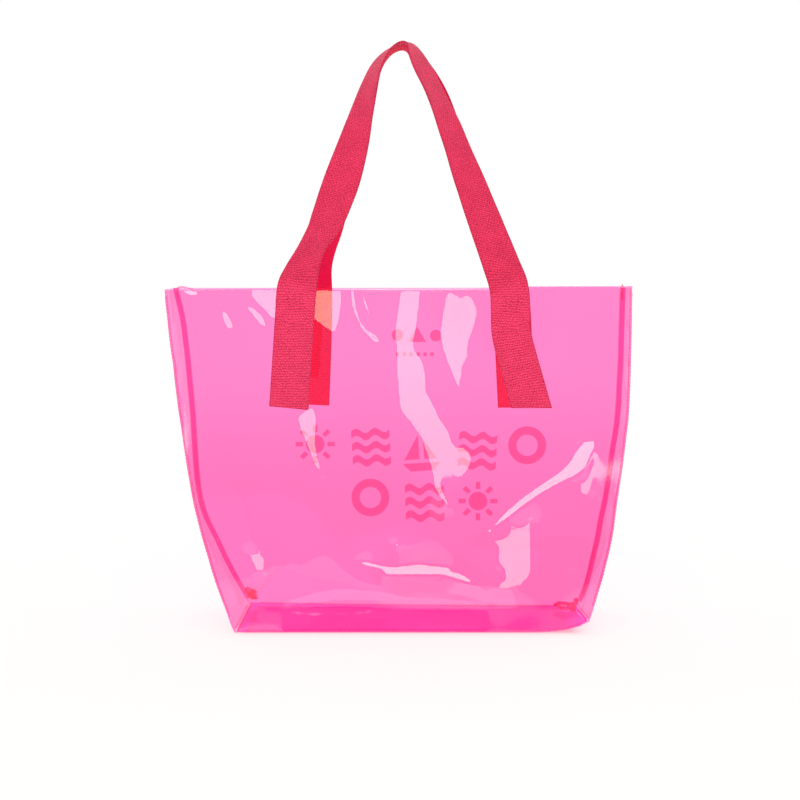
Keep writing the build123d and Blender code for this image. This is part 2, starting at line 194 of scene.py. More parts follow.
# ---------------------------------------------------------------- creases of the rear panel
# Each facet leans so that it mirrors a lamp or the floor: what it mirrors, the direction (x, z)
# along which the crease runs level, outline (x, z)
FACETS = [
    ("right", (0, 1), [
        (-5.5, 329.5), (14.8, 329.5), (13.3, 310.2), (11.9, 299.6), (9.0, 284.2), (6.9, 279.4),
        (9.0, 271.7), (12.9, 265.9), (17.7, 259.6), (19.9, 248.6), (20.6, 230.3), (-7.0, 230.3),
        (-8.4, 247.6), (-9.8, 293.8)]),
    ("right", (0.5, -0.86), [
        (20.6, 230.3), (26.1, 221.6), (33.8, 204.3), (42.5, 192.7), (44.0, 183.0),
        (48.6, 176.8), (55.0, 177.0), (62.6, 173.5), (64.5, 166.0), (61.1, 158.1),
        (53.0, 151.5), (45.7, 152.4), (34.1, 146.6), (32.1, 140.8), (38.9, 128.3),
        (42.8, 118.7), (34.1, 128.3), (27.3, 139.9), (24.4, 158.1), (14.8, 188.9),
        (4.0, 203.0), (-5.5, 213.9), (-7.0, 230.3)]),
    ("right", (0, 1), [
        (38.4, 325.7), (45.3, 324.9), (53.1, 321.1), (60.8, 323.4), (66.9, 318.0),
        (70.0, 310.3), (69.2, 302.7), (66.1, 291.9), (61.6, 282.6), (60.0, 271.9),
        (60.8, 265.8), (53.8, 255.0), (55.4, 250.5), (52.3, 242.8), (52.3, 230.5),
        (46.9, 242.8), (39.1, 261.2), (35.4, 271.9), (33.1, 282.6), (33.1, 293.4),
        (35.4, 308.7), (37.6, 318.0)]),
    ("left", (0, 1), [
        (-92.6, 329.4), (-61.6, 328.8), (-61.6, 313.4), (-63.8, 299.6), (-68.3, 289.6),
        (-72.2, 291.9), (-86.1, 301.1), (-92.5, 306.2)]),
    ("left", (0.1, -1), [
        (-53.8, 328.8), (-49.2, 328.8), (-47.3, 313.4), (-43.2, 300.6), (-47.8, 302.6),
        (-50.8, 308.7), (-53.7, 321.1)]),
    ("left", (0.60, -0.80), [
        (-47.8, 302.6), (-43.2, 300.6), (-36.0, 289.8), (-26.8, 285.7), (-23.9, 279.6),
        (-31.6, 280.7), (-42.8, 291.3)]),
    ("left", (0.25, -0.97), [
        (-43.8, 327.5), (-40.4, 327.5), (-36.0, 315.0), (-32.0, 301.1), (-35.4, 301.5),
        (-40.7, 316.0)]),
    ("left", (0, 1), [
        (-148.5, 329.2), (-120.4, 329.2), (-120.4, 296.6), (-130.2, 304.4), (-139.3, 313.4),
        (-150.1, 324.1)]),
    ("left", (0, 1), [
        (-155.4, 313.4), (-147.0, 311.8), (-137.7, 304.2), (-134.6, 295.7), (-140.8, 298.0),
        (-148.5, 305.7)]),
    ("left", (0, 1), [
        (-178.5, 308.0), (-173.2, 307.3), (-166.2, 296.5), (-167.0, 292.6), (-173.2, 295.0),
        (-177.0, 302.7)]),
    ("top", (1, 0), [
        (-217.2, 330.5), (-208.6, 329.5), (-200.2, 327.8), (-201.0, 324.6), (-205.6, 323.4),
        (-211.7, 326.0)]),
    ("left", (0, 1), [
        (-105.0, 207.2), (-97.2, 212.9), (-89.5, 214.9), (-86.4, 207.5), (-85.7, 198.5),
        (-87.6, 182.2), (-83.7, 165.8), (-78.9, 149.5), (-88.5, 163.9), (-96.3, 185.0),
        (-102.1, 196.6)]),
    ("top", (0.76, 0.65), [
        (181.5, 185.0), (180.5, 175.4), (177.0, 166.0), (172.5, 156.5), (161.5, 149.4),
        (147.8, 143.4), (135.2, 136.0), (116.6, 123.7), (101.0, 111.4), (79.4, 97.1),
        (90.4, 110.7), (109.6, 128.1), (128.6, 141.8), (147.6, 154.2), (160.0, 166.2),
        (165.0, 176.5), (172.0, 184.5)]),
    ("right", (0, 1), [
        (79.4, 94.2), (87.1, 90.9), (100.7, 95.7), (112.0, 99.0), (120.9, 108.0), (120.9, 79.3),
        (120.6, 56.8), (109.0, 46.7), (94.5, 40.9), (85.9, 42.8), (97.4, 52.4), (96.0, 61.1),
        (88.7, 69.7), (90.0, 81.3), (81.3, 88.9)]),
    ("top", (1, 0), [
        (-50.1, 68.3), (-35.6, 68.8), (-29.8, 66.4), (-15.3, 63.5), (13.6, 66.4), (42.5, 63.5),
        (44.0, 57.7), (51.2, 59.2), (59.8, 53.4), (69.9, 45.2), (59.8, 47.6), (36.8, 54.4),
        (13.6, 54.4), (-21.1, 55.3), (-20.0, 60.1), (-35.6, 63.0)]),
    ("left", (0, 1), [
        (-151.3, 75.7), (-143.0, 75.0), (-136.7, 71.6), (-136.7, 58.2), (-144.4, 63.0)]),
    ("left", (1, 0), [(-13.5, 83.0), (-9.5, 86.5), (-3.5, 85.0), (-8.5, 82.2)]),
    ("floor", (1, 0), [
        (-146.8, 32), (-137, 48), (-124.9, 59.6), (-110.5, 68), (-101, 65), (-89.5, 71),
        (-77, 77), (-67.6, 69), (-57, 59), (-43.7, 50), (-20, 44), (13.6, 41), (55, 36.5),
        (90, 29), (90, 24), (-5.5, 24), (-101, 24), (-140, 26)]),
    ("near_floor", (1, 0), [
        (-114.2, 29.8), (-100.9, 33.7), (-83.7, 39.5), (-67.5, 42.4), (-48.4, 42.4),
        (-29.3, 40.4), (-15.0, 36.6), (-5.5, 33.2), (29.8, 31.3), (66.0, 28.9), (66.0, 27.4),
        (29.8, 28.9), (-5.5, 29.8), (-29.3, 30.8), (-67.5, 31.0), (-100.9, 29.3)]),
    ("near_floor", (1, 0), [
        (-111.4, 20.2), (-89.4, 18.3), (-67.5, 19.1), (-47.5, 19.2), (-31.2, 21.6),
        (-31.2, 20.0), (-47.5, 17.7), (-67.5, 17.5), (-89.4, 16.6), (-111.4, 18.7)]),
]
# Long soft waves between the creases: slope, wavelength, direction in degrees, phase
SOFT_WAVES = [(0.010, 150, 20, 0.3), (0.008, 95, 75, 1.7), (0.006, 60, 130, 4.0)]

STEP = 1.25                                 # spacing of the grid the creases are solved on
GRID_X = np.arange(-240.0, 228.1, STEP)
GRID_Z = np.arange(-2.5, 337.6, STEP)
NODE_X, NODE_Z = np.meshgrid(GRID_X, GRID_Z)


def inside(outline, x, z):
    hit = np.zeros(x.shape, bool)
    for (x0, z0), (x1, z1) in zip(outline, outline[1:] + outline[:1]):
        if z0 != z1:
            hit ^= ((z0 > z) != (z1 > z)) & (x < (x1 - x0) * (z - z0) / (z1 - z0) + x0)
    return hit


def flat_rear_point(x, z):
    return np.stack([x, -(FOOT_DEPTH - LEAN * z), z], -1)


def mirror_hit(x, z, slope_x, slope_z):
    """Where the mirror ray from the camera meets the plane of the lamps, for a rear panel with
    these slopes on top of its lean."""
    point = flat_rear_point(x, z)
    ray = unit(point - CAMERA)
    normal = unit(np.stack([-slope_x, -np.ones_like(slope_x), LEAN - slope_z], -1))
    mirrored = ray - 2 * (ray * normal).sum(-1, keepdims=True) * normal
    return point + mirrored * ((LAMP_Y - point[..., 1]) / mirrored[..., 1])[..., None]


def on_lamp(x, z, lamp):
    return (np.abs(x - lamp.x) < lamp.width / 2) & (np.abs(z - lamp.z) < lamp.height / 2)


def lit(x, z, slope_x, slope_z):
    """True where the panel mirrors a lamp."""
    hit = mirror_hit(x, z, slope_x, slope_z) / 1000
    return (on_lamp(np.abs(hit[..., 0]), hit[..., 2], SIDE_LAMP)
            | on_lamp(hit[..., 0], hit[..., 2], TOP_LAMP))


def wanted_slope(lamp, x, z):
    """Slopes across and up the panel that turn the mirror direction to the lamp."""
    point = flat_rear_point(x, z)
    to_camera = unit(CAMERA - point)
    goal = mirror_hit(x, z, np.zeros_like(x), np.zeros_like(x))
    if lamp in AIMED_BY_HEIGHT:
        goal[..., 2] = LAMP_AIM[lamp]
    else:
        goal[..., 0] = LAMP_AIM[lamp]
        goal[..., 2] = goal[..., 2] * 0.6 + 0.4 * 1000 * SIDE_LAMP.z
    normal = to_camera + unit(goal - point)
    normal /= -normal[..., 1:2]
    return -normal[..., 0], LEAN - normal[..., 2]


def belly(x, z):
    """The panel stands out a little in the middle."""
    return (2.2 * np.sin(np.pi * np.clip(z / RIM_Z, 0, 1)) ** 1.4
            * np.clip(1 - (np.asarray(x) / 215.0) ** 2, 0, 1))


class EdgeSlopes:
    """Wanted slopes and their weights on the grid edges along one axis (1 across, 0 up)."""

    def __init__(self, axis):
        self.axis = axis
        self.x = self.middle(NODE_X)
        self.z = self.middle(NODE_Z)
        self.belly = self.slope_of(belly(NODE_X, NODE_Z))
        self.wanted = np.zeros(self.x.shape)
        self.weight = np.full(self.x.shape, 0.02)
        self.creased = np.zeros(self.x.shape, bool)

    def ends(self, field):
        return (field[:, 1:], field[:, :-1]) if self.axis else (field[1:], field[:-1])

    def middle(self, field):
        after, before = self.ends(field)
        return (after + before) / 2

    def slope_of(self, field):
        return np.diff(field, axis=self.axis) / STEP

    def hold(self, where, slope, weight):
        self.wanted[where] = slope
        self.weight[where] = weight

    def facet_slope(self, lamp, run, where):
        """Slope inside a facet, less the belly's."""
        across, up = wanted_slope(lamp, self.x[where], self.z[where])
        if lamp in AIMED_BY_HEIGHT:
            if run[1]:
                across = -up * run[1] / run[0]
        elif run[0] and run[1]:
            up = -across * run[0] / run[1]
        return (across if self.axis else up) - self.belly[where]


def spread(field, across, up, sign=-1):
    """Adds edge values to the node after each edge, and sign times them to the one before."""
    field[:, 1:] += across
    field[:, :-1] += sign * across
    field[1:] += up
    field[:-1] += sign * up
    return field


def solve_heights(across, up, anchor, first, steps):
    """Least squares surface that follows the wanted slopes, by conjugate gradient."""
    def apply(heights):
        return spread(anchor * heights,
                      across.weight * np.diff(heights, axis=1) / STEP ** 2,
                      up.weight * np.diff(heights, axis=0) / STEP ** 2)

    target = spread(np.zeros(anchor.shape), across.weight * across.wanted / STEP,
                    up.weight * up.wanted / STEP)
    diagonal = spread(anchor.copy(), across.weight / STEP ** 2, up.weight / STEP ** 2, sign=1)
    heights = first.copy()
    residual = target - apply(heights)
    scaled = residual / diagonal
    direction = scaled.copy()
    size = (residual * scaled).sum()
    for _ in range(steps):
        applied = apply(direction)
        stride = size / (direction * applied).sum()
        heights += stride * direction
        residual -= stride * applied
        scaled = residual / diagonal
        new_size = (residual * scaled).sum()
        if new_size < 1e-9 * abs(size) + 1e-18:
            break
        direction = scaled + (new_size / size) * direction
        size = new_size
    return heights


def starting_slopes():
    """Slopes across and up wanted from the facets, soft waves and sewn webbing, and the mask of
    the facets that mirror the floor."""
    across, up = EdgeSlopes(1), EdgeSlopes(0)
    floor_facets = np.zeros(up.x.shape, bool)
    for lamp, run, outline in FACETS:
        in_across = inside(outline, across.x, across.z)
        in_up = inside(outline, up.x, up.z)
        up_slope = up.facet_slope(lamp, run, in_up)
        if lamp in FLOOR_LAMPS:
            across.hold(in_across, 0.0, 0.1)
            floor_facets[in_up] = True
            up.hold(in_up, up_slope, 0.35 if lamp == "floor" else 1.2)
            continue
        is_top = lamp == "top"
        across.hold(in_across, across.facet_slope(lamp, run, in_across),
                    1.0 if not is_top else 2.5 if run[1] else 0.4)
        across.creased[in_across] = True
        up.hold(in_up, up_slope, 2.5 if is_top else 1.0 if run[0] else 0.4)
        up.creased[in_up] = True
    # the strip in front of the base leans back a little
    up.hold((up.z < 23) & ~floor_facets, -0.02, 0.3)
    for slope, wavelength, angle, phase in SOFT_WAVES:
        cos, sin = math.cos(math.radians(angle)), math.sin(math.radians(angle))
        for edges, part in ((across, cos), (up, sin)):
            turn = 2 * np.pi * (edges.x * cos + edges.z * sin) / wavelength + phase
            edges.wanted += np.where(edges.creased, 0, slope * part * np.cos(turn))
    # the sewn webbing keeps the film flat; both ends of it slant
    for x0, x1 in ((-131, -86), (84, 121)):
        for edges in (across, up):
            z = edges.z
            slant = 0.063 * (329 - z) if x0 < 0 else -np.clip(287 - z, 0, 80) * 0.283
            x = edges.x + slant
            sewn = (x > x0 + 3) & (x < x1 - 3) & (z > 214) & (z < 318) & ~edges.creased
            edges.hold(sewn, 0.0, 0.5)
    return across, up, floor_facets


def correct_slopes(across, up, floor_facets, heights):
    """Moves the wanted slopes and weights towards the wanted pattern of mirrored lamps."""
    full = heights + belly(NODE_X, NODE_Z)
    slopes = np.gradient(full, STEP, axis=1), np.gradient(full, STEP, axis=0)
    bright = lit(NODE_X, NODE_Z, *slopes)
    for edges in (across, up):
        after, before = edges.ends(bright)
        edge_lit = after | before
        # bright outside the facets: ease the slope; dark inside them: hold it harder
        stray = edge_lit & ~edges.creased
        edges.hold(stray, 0.72 * edges.slope_of(heights)[stray],
                   np.clip(edges.weight[stray] * 1.9, 0.25, 3))
        dark = edges.creased & ~edge_lit
        edges.weight[dark] = np.minimum(edges.weight[dark] * 1.8, 8)
    # elsewhere the panel should not mirror the floor, which lies below 0
    hit_z = up.middle(mirror_hit(NODE_X, NODE_Z, *slopes)[..., 2])
    low = ((hit_z < 25) & ~floor_facets & ~up.creased & (up.x > -118)
           & ((up.x < 78) | (up.z > 64)))
    up.hold(low, up.slope_of(heights)[low] - 0.014, np.clip(up.weight[low] * 1.8, 0.2, 2))


def crease_field(rounds=7):
    """Height of the creases on the grid, outwards from the rear panel."""
    anchor = np.full(NODE_X.shape, 2e-6)
    anchor[NODE_Z < 3] = 0.1
    across, up, floor_facets = starting_slopes()
    heights = solve_heights(across, up, anchor, np.zeros(NODE_X.shape), steps=900)
    for _ in range(rounds - 1):
        correct_slopes(across, up, floor_facets, heights)
        heights = solve_heights(across, up, anchor, heights, steps=260)
    kernel = gaussian(3, 0.75)
    rows, columns = heights.shape
    soft = np.pad(heights, 3, mode="edge")
    soft = sum(weight * soft[:, i:i + columns] for i, weight in enumerate(kernel))
    return sum(weight * soft[i:i + rows] for i, weight in enumerate(kernel))


CREASE = crease_field()


def crease_height(x, z):
    """Bilinear lookup in the crease grid."""
    column = np.clip((np.asarray(x) - GRID_X[0]) / STEP, 0, len(GRID_X) - 1.001)
    row = np.clip((np.asarray(z) - GRID_Z[0]) / STEP, 0, len(GRID_Z) - 1.001)
    i, j = np.floor(row).astype(int), np.floor(column).astype(int)
    u, v = column - j, row - i
    return (CREASE[i, j] * (1 - u) * (1 - v) + CREASE[i, j + 1] * u * (1 - v)
            + CREASE[i + 1, j] * (1 - u) * v + CREASE[i + 1, j + 1] * u * v)


# ---------------------------------------------------------------- panel surfaces
def rear_y(x, z):
    """Outer face of the rear panel."""
    return -(FOOT_DEPTH - LEAN * np.asarray(z)) - crease_height(x, z) - belly(x, z)


def front_sag(x, z):
    """The bottom of the front panel draws in, more on the right."""
    sag = sum(np.interp(np.asarray(x, float) + shift, [-165, -109, 0, 76, 150, 190],
                        [5, -3, -10.5, -14.5, -15.6, -15.0])
              for shift in (-24, -12, 0, 12, 24)) / 5
    return sag * np.exp(-((np.clip(z, 0, None) / 62.0) ** 1.4))


def front_y(x, z):
    """Outer face of the front panel."""
    x, z = np.asarray(x, float), np.asarray(z, float)
    from_edge = np.clip(np.minimum(x - front_left(z), front_right(z) - x) / 60.0, 0, 1)
    bulge = np.sin(np.pi * np.clip(z / RIM_Z, 0, 1))
    waves = ((1.5 * np.sin(x / 41.0 + z / 70.0 + 0.6) + 0.9 * np.sin(x / 23.0 - z / 38.0 + 2.0)
              + 0.5 * np.sin(z / 17.0 + x / 60.0)) * from_edge * np.clip(z / 60.0, 0, 1))
    loose = np.ones_like(x)                 # small under the sewn webbing ends
    for centre in (-93.0, 111.0):
        loose = loose * (1 - 0.85 * np.exp(-((x - centre) / 26.0) ** 4)
                         * smoothstep(z, 190, 215))
    return ((FOOT_DEPTH - LEAN * z) + front_sag(x, z) + waves * loose * 0.8
            + 1.5 * bulge * from_edge * loose)


def rear_point(u, t):
    """Point of the rear panel's outer face, u from left to right and t from foot to rim."""
    foot_x = rear_left(0) + (REAR_RIGHT[0][1] - rear_left(0)) * u
    bottom = corner_lift(foot_x)
    top = rim_top(rear_left(RIM_Z) + (rear_right(RIM_Z) - rear_left(RIM_Z)) * u)
    z = bottom + (top - bottom) * t
    x = rear_left(z) + (rear_right(z) - rear_left(z)) * u
    return np.stack([x, rear_y(x, z), z], -1)


def front_point(u, t):
    """The same for the front panel."""
    top = RIM_Z - 0.3 + 1.2 * smoothstep(u, 0.6, 0.95)
    z = 0.6 + (top - 0.6) * t
    x = front_left(z) + (front_right(z) - front_left(z)) * u
    return np.stack([x, front_y(x, z), z], -1)


def point_on(panel_point, u, t):
    return panel_point(np.array([u]), np.array([t]))[0]


def side_u(side):
    """u of a panel's left (-1) or right (1) edge."""
    return (side + 1) / 2


def front_edge(side, z):
    return front_left(z) if side < 0 else front_right(z)


def panel_normal(face):
    """Outward normal of the flat leaning panel, -1 rear or 1 front."""
    lean_angle = math.atan(LEAN)
    return np.array([0, face * math.cos(lean_angle), math.sin(lean_angle)])


# ---------------------------------------------------------------- mesh helpers
def link(name, mesh, materials):
    thing = bpy.data.objects.new(name, mesh)
    bpy.context.scene.collection.objects.link(thing)
    for material in materials:
        mesh.materials.append(material)
    return thing


def shell_faces(rows, columns):
    """Front, back and rim faces between two grids of points, the front grid's first."""
    index = np.arange(rows * columns).reshape(rows, columns)
    a, b, c, d = index[:-1, :-1], index[:-1, 1:], index[1:, 1:], index[1:, :-1]
    front = np.stack([a, b, c, d], -1).reshape(-1, 4)
    back = np.stack([a, d, c, b], -1).reshape(-1, 4) + rows * columns
    loop = np.concatenate([index[0, :], index[1:, -1], index[-1, -2::-1], index[-2:0:-1, 0]])
    after = np.roll(loop, -1)
    rim = np.stack([after, loop, loop + rows * columns, after + rows * columns], -1)
    return front, back, rim


def grid_normals(points, towards):
    normals = np.cross(np.gradient(points, axis=1), np.gradient(points, axis=0))
    normals /= np.maximum(np.linalg.norm(normals, axis=-1, keepdims=True), 1e-9)
    flip = np.sign((normals * np.asarray(towards, float)).sum(-1, keepdims=True))
    flip[flip == 0] = 1
    return normals * flip


def sheet(name, points, towards, materials, thickness=FILM_THICKNESS):
    """Closed thin sheet. The points are its face on the side towards points to; the last
    material goes on the cut edges."""
    rows, columns = points.shape[:2]
    normals = grid_normals(points, towards)
    corners = np.concatenate([points.reshape(-1, 3),
                              (points - normals * thickness).reshape(-1, 3)]) * 0.001
    front, back, rim = shell_faces(rows, columns)
    faces = np.concatenate([front, back, rim])
    i, j = rows // 2, columns // 2
    winding = np.cross(points[i, j + 1] - points[i, j], points[i + 1, j] - points[i, j])
    if winding @ normals[i, j] < 0:
        faces = faces[:, ::-1]
    mesh = bpy.data.meshes.new(name)
    mesh.from_pydata(corners.tolist(), [], faces.tolist())
    is_rim = np.arange(len(faces)) >= len(front) + len(back)
    mesh.polygons.foreach_set("material_index", np.where(is_rim, len(materials) - 1, 0))
    mesh.polygons.foreach_set("use_smooth", ~is_rim)
    mesh.validate()
    mesh.update()
    return link(name, mesh, materials)


def smooth_mesh(name, points, faces):
    mesh = bpy.data.meshes.new(name)
    mesh.from_pydata((np.array(points) * 0.001).tolist(), [], faces)
    mesh.polygons.foreach_set("use_smooth", np.ones(len(mesh.polygons), bool))
    mesh.update()
    return mesh


def face_outwards(mesh):
    work = bmesh.new()
    work.from_mesh(mesh)
    bmesh.ops.recalc_face_normals(work, faces=work.faces)
    work.to_mesh(mesh)
    work.free()


def join(main, parts):
    """Adds the parts' meshes and materials to the main object and removes the parts."""
    merged = bmesh.new()
    merged.from_mesh(main.data)
    slots = main.data.materials
    for part in parts:
        mesh = part.data
        for material in mesh.materials:
            if material.name not in [slot.name for slot in slots]:
                slots.append(material)
        names = [slot.name for slot in slots]
        new_index = np.array([names.index(material.name) for material in mesh.materials])
        indices = np.zeros(len(mesh.polygons), int)
        mesh.polygons.foreach_get("material_index", indices)
        mesh.polygons.foreach_set("material_index", new_index[indices])
        merged.from_mesh(mesh)
    merged.to_mesh(main.data)
    merged.free()
    for part in parts:
        mesh = part.data
        bpy.data.objects.remove(part)
        bpy.data.meshes.remove(mesh)
    return main


THREAD_RINGS = [(-0.46, 0.62), (-0.34, 1.0), (0.0, 1.06), (0.34, 1.0), (0.46, 0.62)]


def threads(name, starts, ends, normal, radius, material):
    """One mesh of many short rounded threads, a little flattened along the normal. THREAD_RINGS
    gives place along the length and share of the radius."""
    sides, flatten = 6, 0.8
    points, faces = [], []
    for start, end in zip(starts, ends):
        length = np.linalg.norm(end - start)
        forward = (end - start) / length
        across = unit(np.cross(forward, normal))
        up = np.cross(across, forward)
        centre = (start + end) / 2
        tail = len(points)
        points.append(centre - forward * length * 0.5)
        for place, share in THREAD_RINGS:
            for j in range(sides):
                angle = 2 * math.pi * j / sides
                points.append(centre + forward * length * place + radius * share * (
                    across * math.cos(angle) + up * math.sin(angle) * flatten))
        tip = len(points)
        points.append(centre + forward * length * 0.5)
        for j in range(sides):
            k = (j + 1) % sides
            faces.append((tail, tail + 1 + k, tail + 1 + j))
            for low in range(tail + 1, tip - sides, sides):
                high = low + sides
                faces.append((low + j, low + k, high + k, high + j))
            faces.append((tip - sides + j, tip - sides + k, tip))
    mesh = smooth_mesh(name, points, faces)
    face_outwards(mesh)
    return link(name, mesh, [material])


def stitches(name, paths, normal, cad_piece, pitch, length, start, radius, material):
    """Stitches spaced along polylines; start is the way to the first one."""
    starts, ends = [], []
    for path in paths:
        path = np.array(path, float)
        lengths = arc_lengths(path)
        places = np.arange(start, lengths[-1] - length, pitch)
        starts += list(points_at(path, lengths, places))
        ends += list(points_at(path, lengths, places + length))
    thread = threads(name, starts, ends, np.asarray(normal, float), radius, material)
    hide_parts(cad_piece)
    return thread


# ---------------------------------------------------------------- materials
class Graph:
    """A node tree being built. Inputs are given as values or as output sockets."""

    def __init__(self, tree):
        self.tree = tree
        tree.nodes.clear()

    def node(self, kind, inputs=None, **properties):
        new = self.tree.nodes.new(kind)
        for key, value in properties.items():
            setattr(new, key, value)
        for key, value in (inputs or {}).items():
            if isinstance(value, bpy.types.NodeSocket):
                self.tree.links.new(value, new.inputs[key])
            else:
                new.inputs[key].default_value = value
        return new

    def math(self, operation, *operands, clamp=False):
        return self.node("ShaderNodeMath", dict(enumerate(operands)), operation=operation,
                         use_clamp=clamp).outputs[0]

    def add(self, a, b, **options):
        return self.math("ADD", a, b, **options)

    def sub(self, a, b):
        return self.math("SUBTRACT", a, b)

    def mul(self, a, b, **options):
        return self.math("MULTIPLY", a, b, **options)

    def map_range(self, value, start, end, to=(0.0, 1.0), kind="SMOOTHSTEP"):
        limits = {"From Min": start, "From Max": end, "To Min": to[0], "To Max": to[1]}
        return self.node("ShaderNodeMapRange", {"Value": value, **limits},
                         interpolation_type=kind).outputs[0]

    def noise(self, vector, scale, detail, roughness=0.5):
        return self.node("ShaderNodeTexNoise", {
            "Vector": vector, "Scale": scale, "Detail": detail,
            "Roughness": roughness}).outputs["Fac"]

    def bump(self, height, strength, distance):
        return self.node("ShaderNodeBump", {
            "Height": height, "Strength": strength, "Distance": distance}).outputs["Normal"]

    def ramp(self, value, low, high, span=(0.0, 1.0)):
        new = self.node("ShaderNodeValToRGB", {0: value})
        for element, color, position in zip(new.color_ramp.elements, (low, high), span):
            element.position = position
            element.color = (*color, 1)
        return new.outputs[0]

    def axes(self, vector):
        return self.node("ShaderNodeSeparateXYZ", {0: vector}).outputs

    def mix_shader(self, factor, a, b):
        return self.node("ShaderNodeMixShader", {0: factor, 1: a, 2: b}).outputs[0]

    def output(self, surface, kind="ShaderNodeOutputMaterial"):
        self.node(kind, {"Surface": surface})


def new_material(name):
    material = bpy.data.materials.new(name)
    material.use_nodes = True
    return material, Graph(material.node_tree)


def film_material(name, tint, graze, rough=0.035, ripple=0.12, haze=0.0, haze_color=None,
                  low_painted_shade=0.0):
    """Thin see-through film. tint is what one face lets through, straight on; it grows deeper as
    the way through the film gets longer. graze is the gloss added at a grazing angle, haze the
    share of diffuse colour. The last argument gives the extra depth of tint low on the bag, a
    painted shade for the floor behind it, lit pink through the film."""
    refraction_squared = 2.34
    material, graph = new_material(name)
    place = graph.node("ShaderNodeTexCoord").outputs["Object"]
    facing = graph.node("ShaderNodeLayerWeight", {"Blend": 0.5}).outputs["Facing"]
    cosine = graph.sub(1.0, facing)
    sine_squared = graph.sub(1.0, graph.mul(cosine, cosine))
    path = graph.math("INVERSE_SQRT",
                      graph.sub(1.0, graph.mul(sine_squared, 1 / refraction_squared)))
    vary = 0.03                             # cloudy variation of the thickness
    cloud = graph.noise(place, scale=9.0, detail=3.0)
    path = graph.mul(path, graph.add(1.0 - vary, graph.mul(cloud, 2 * vary)))
    blue_path = path
    # painted shade: the tint deepens low on the bag, standing for the floor behind it lit pink
    # through the film
    if low_painted_shade:
        depth = graph.map_range(graph.axes(place)[2], 0.270, 0.105, to=(1.0, 1.0 + low_painted_shade))
        blue_path = graph.mul(path, graph.math("POWER", depth, 1.7))
        path = graph.mul(path, depth)
    channels = [share if share >= 1.0 else graph.math("POWER", share, way)
                for share, way in zip(tint, (path, path, blue_path))]
    color = graph.node("ShaderNodeCombineColor", dict(enumerate(channels))).outputs[0]
    clear = graph.node("ShaderNodeBsdfTransparent", {"Color": color})
    waves = graph.noise(place, scale=16.0, detail=1.5)
    gloss = graph.node("ShaderNodeBsdfGlossy", {
        "Color": (1.0, 0.98, 0.86, 1), "Roughness": rough,
        "Normal": graph.bump(waves, strength=ripple, distance=0.002)})
    share = graph.add(0.04, graph.mul(graph.math("POWER", facing, 5.0), graze), clamp=True)
    surface = graph.mix_shader(share, clear.outputs[0], gloss.outputs[0])
    if haze > 0:
        diffuse = graph.node("ShaderNodeBsdfDiffuse", {"Color": (*haze_color, 1)})
        surface = graph.mix_shader(haze, surface, diffuse.outputs[0])
    graph.output(surface)
    return material


# Webbing colours, linear: (valley, peak) of the weave, a darker copy for the front handle's
# inner face as painted shade, and gain at the sewn ends as painted light
OUTER_WEAVE = ((0.33, 0.0040, 0.036), (0.98, 0.050, 0.155))
FRONT_INNER_SHADED_WEAVE = ((0.62, 0.0012, 0.050), (0.93, 0.0055, 0.088))
OUTER_END_PAINTED_LIGHT = (1.08, 1.28, 1.22)
FRONT_INNER_END_PAINTED_LIGHT = (1.06, 24.0, 2.3)
INNER_U_SHIFT = 76.0                        # added to u of the weave map on the inner face


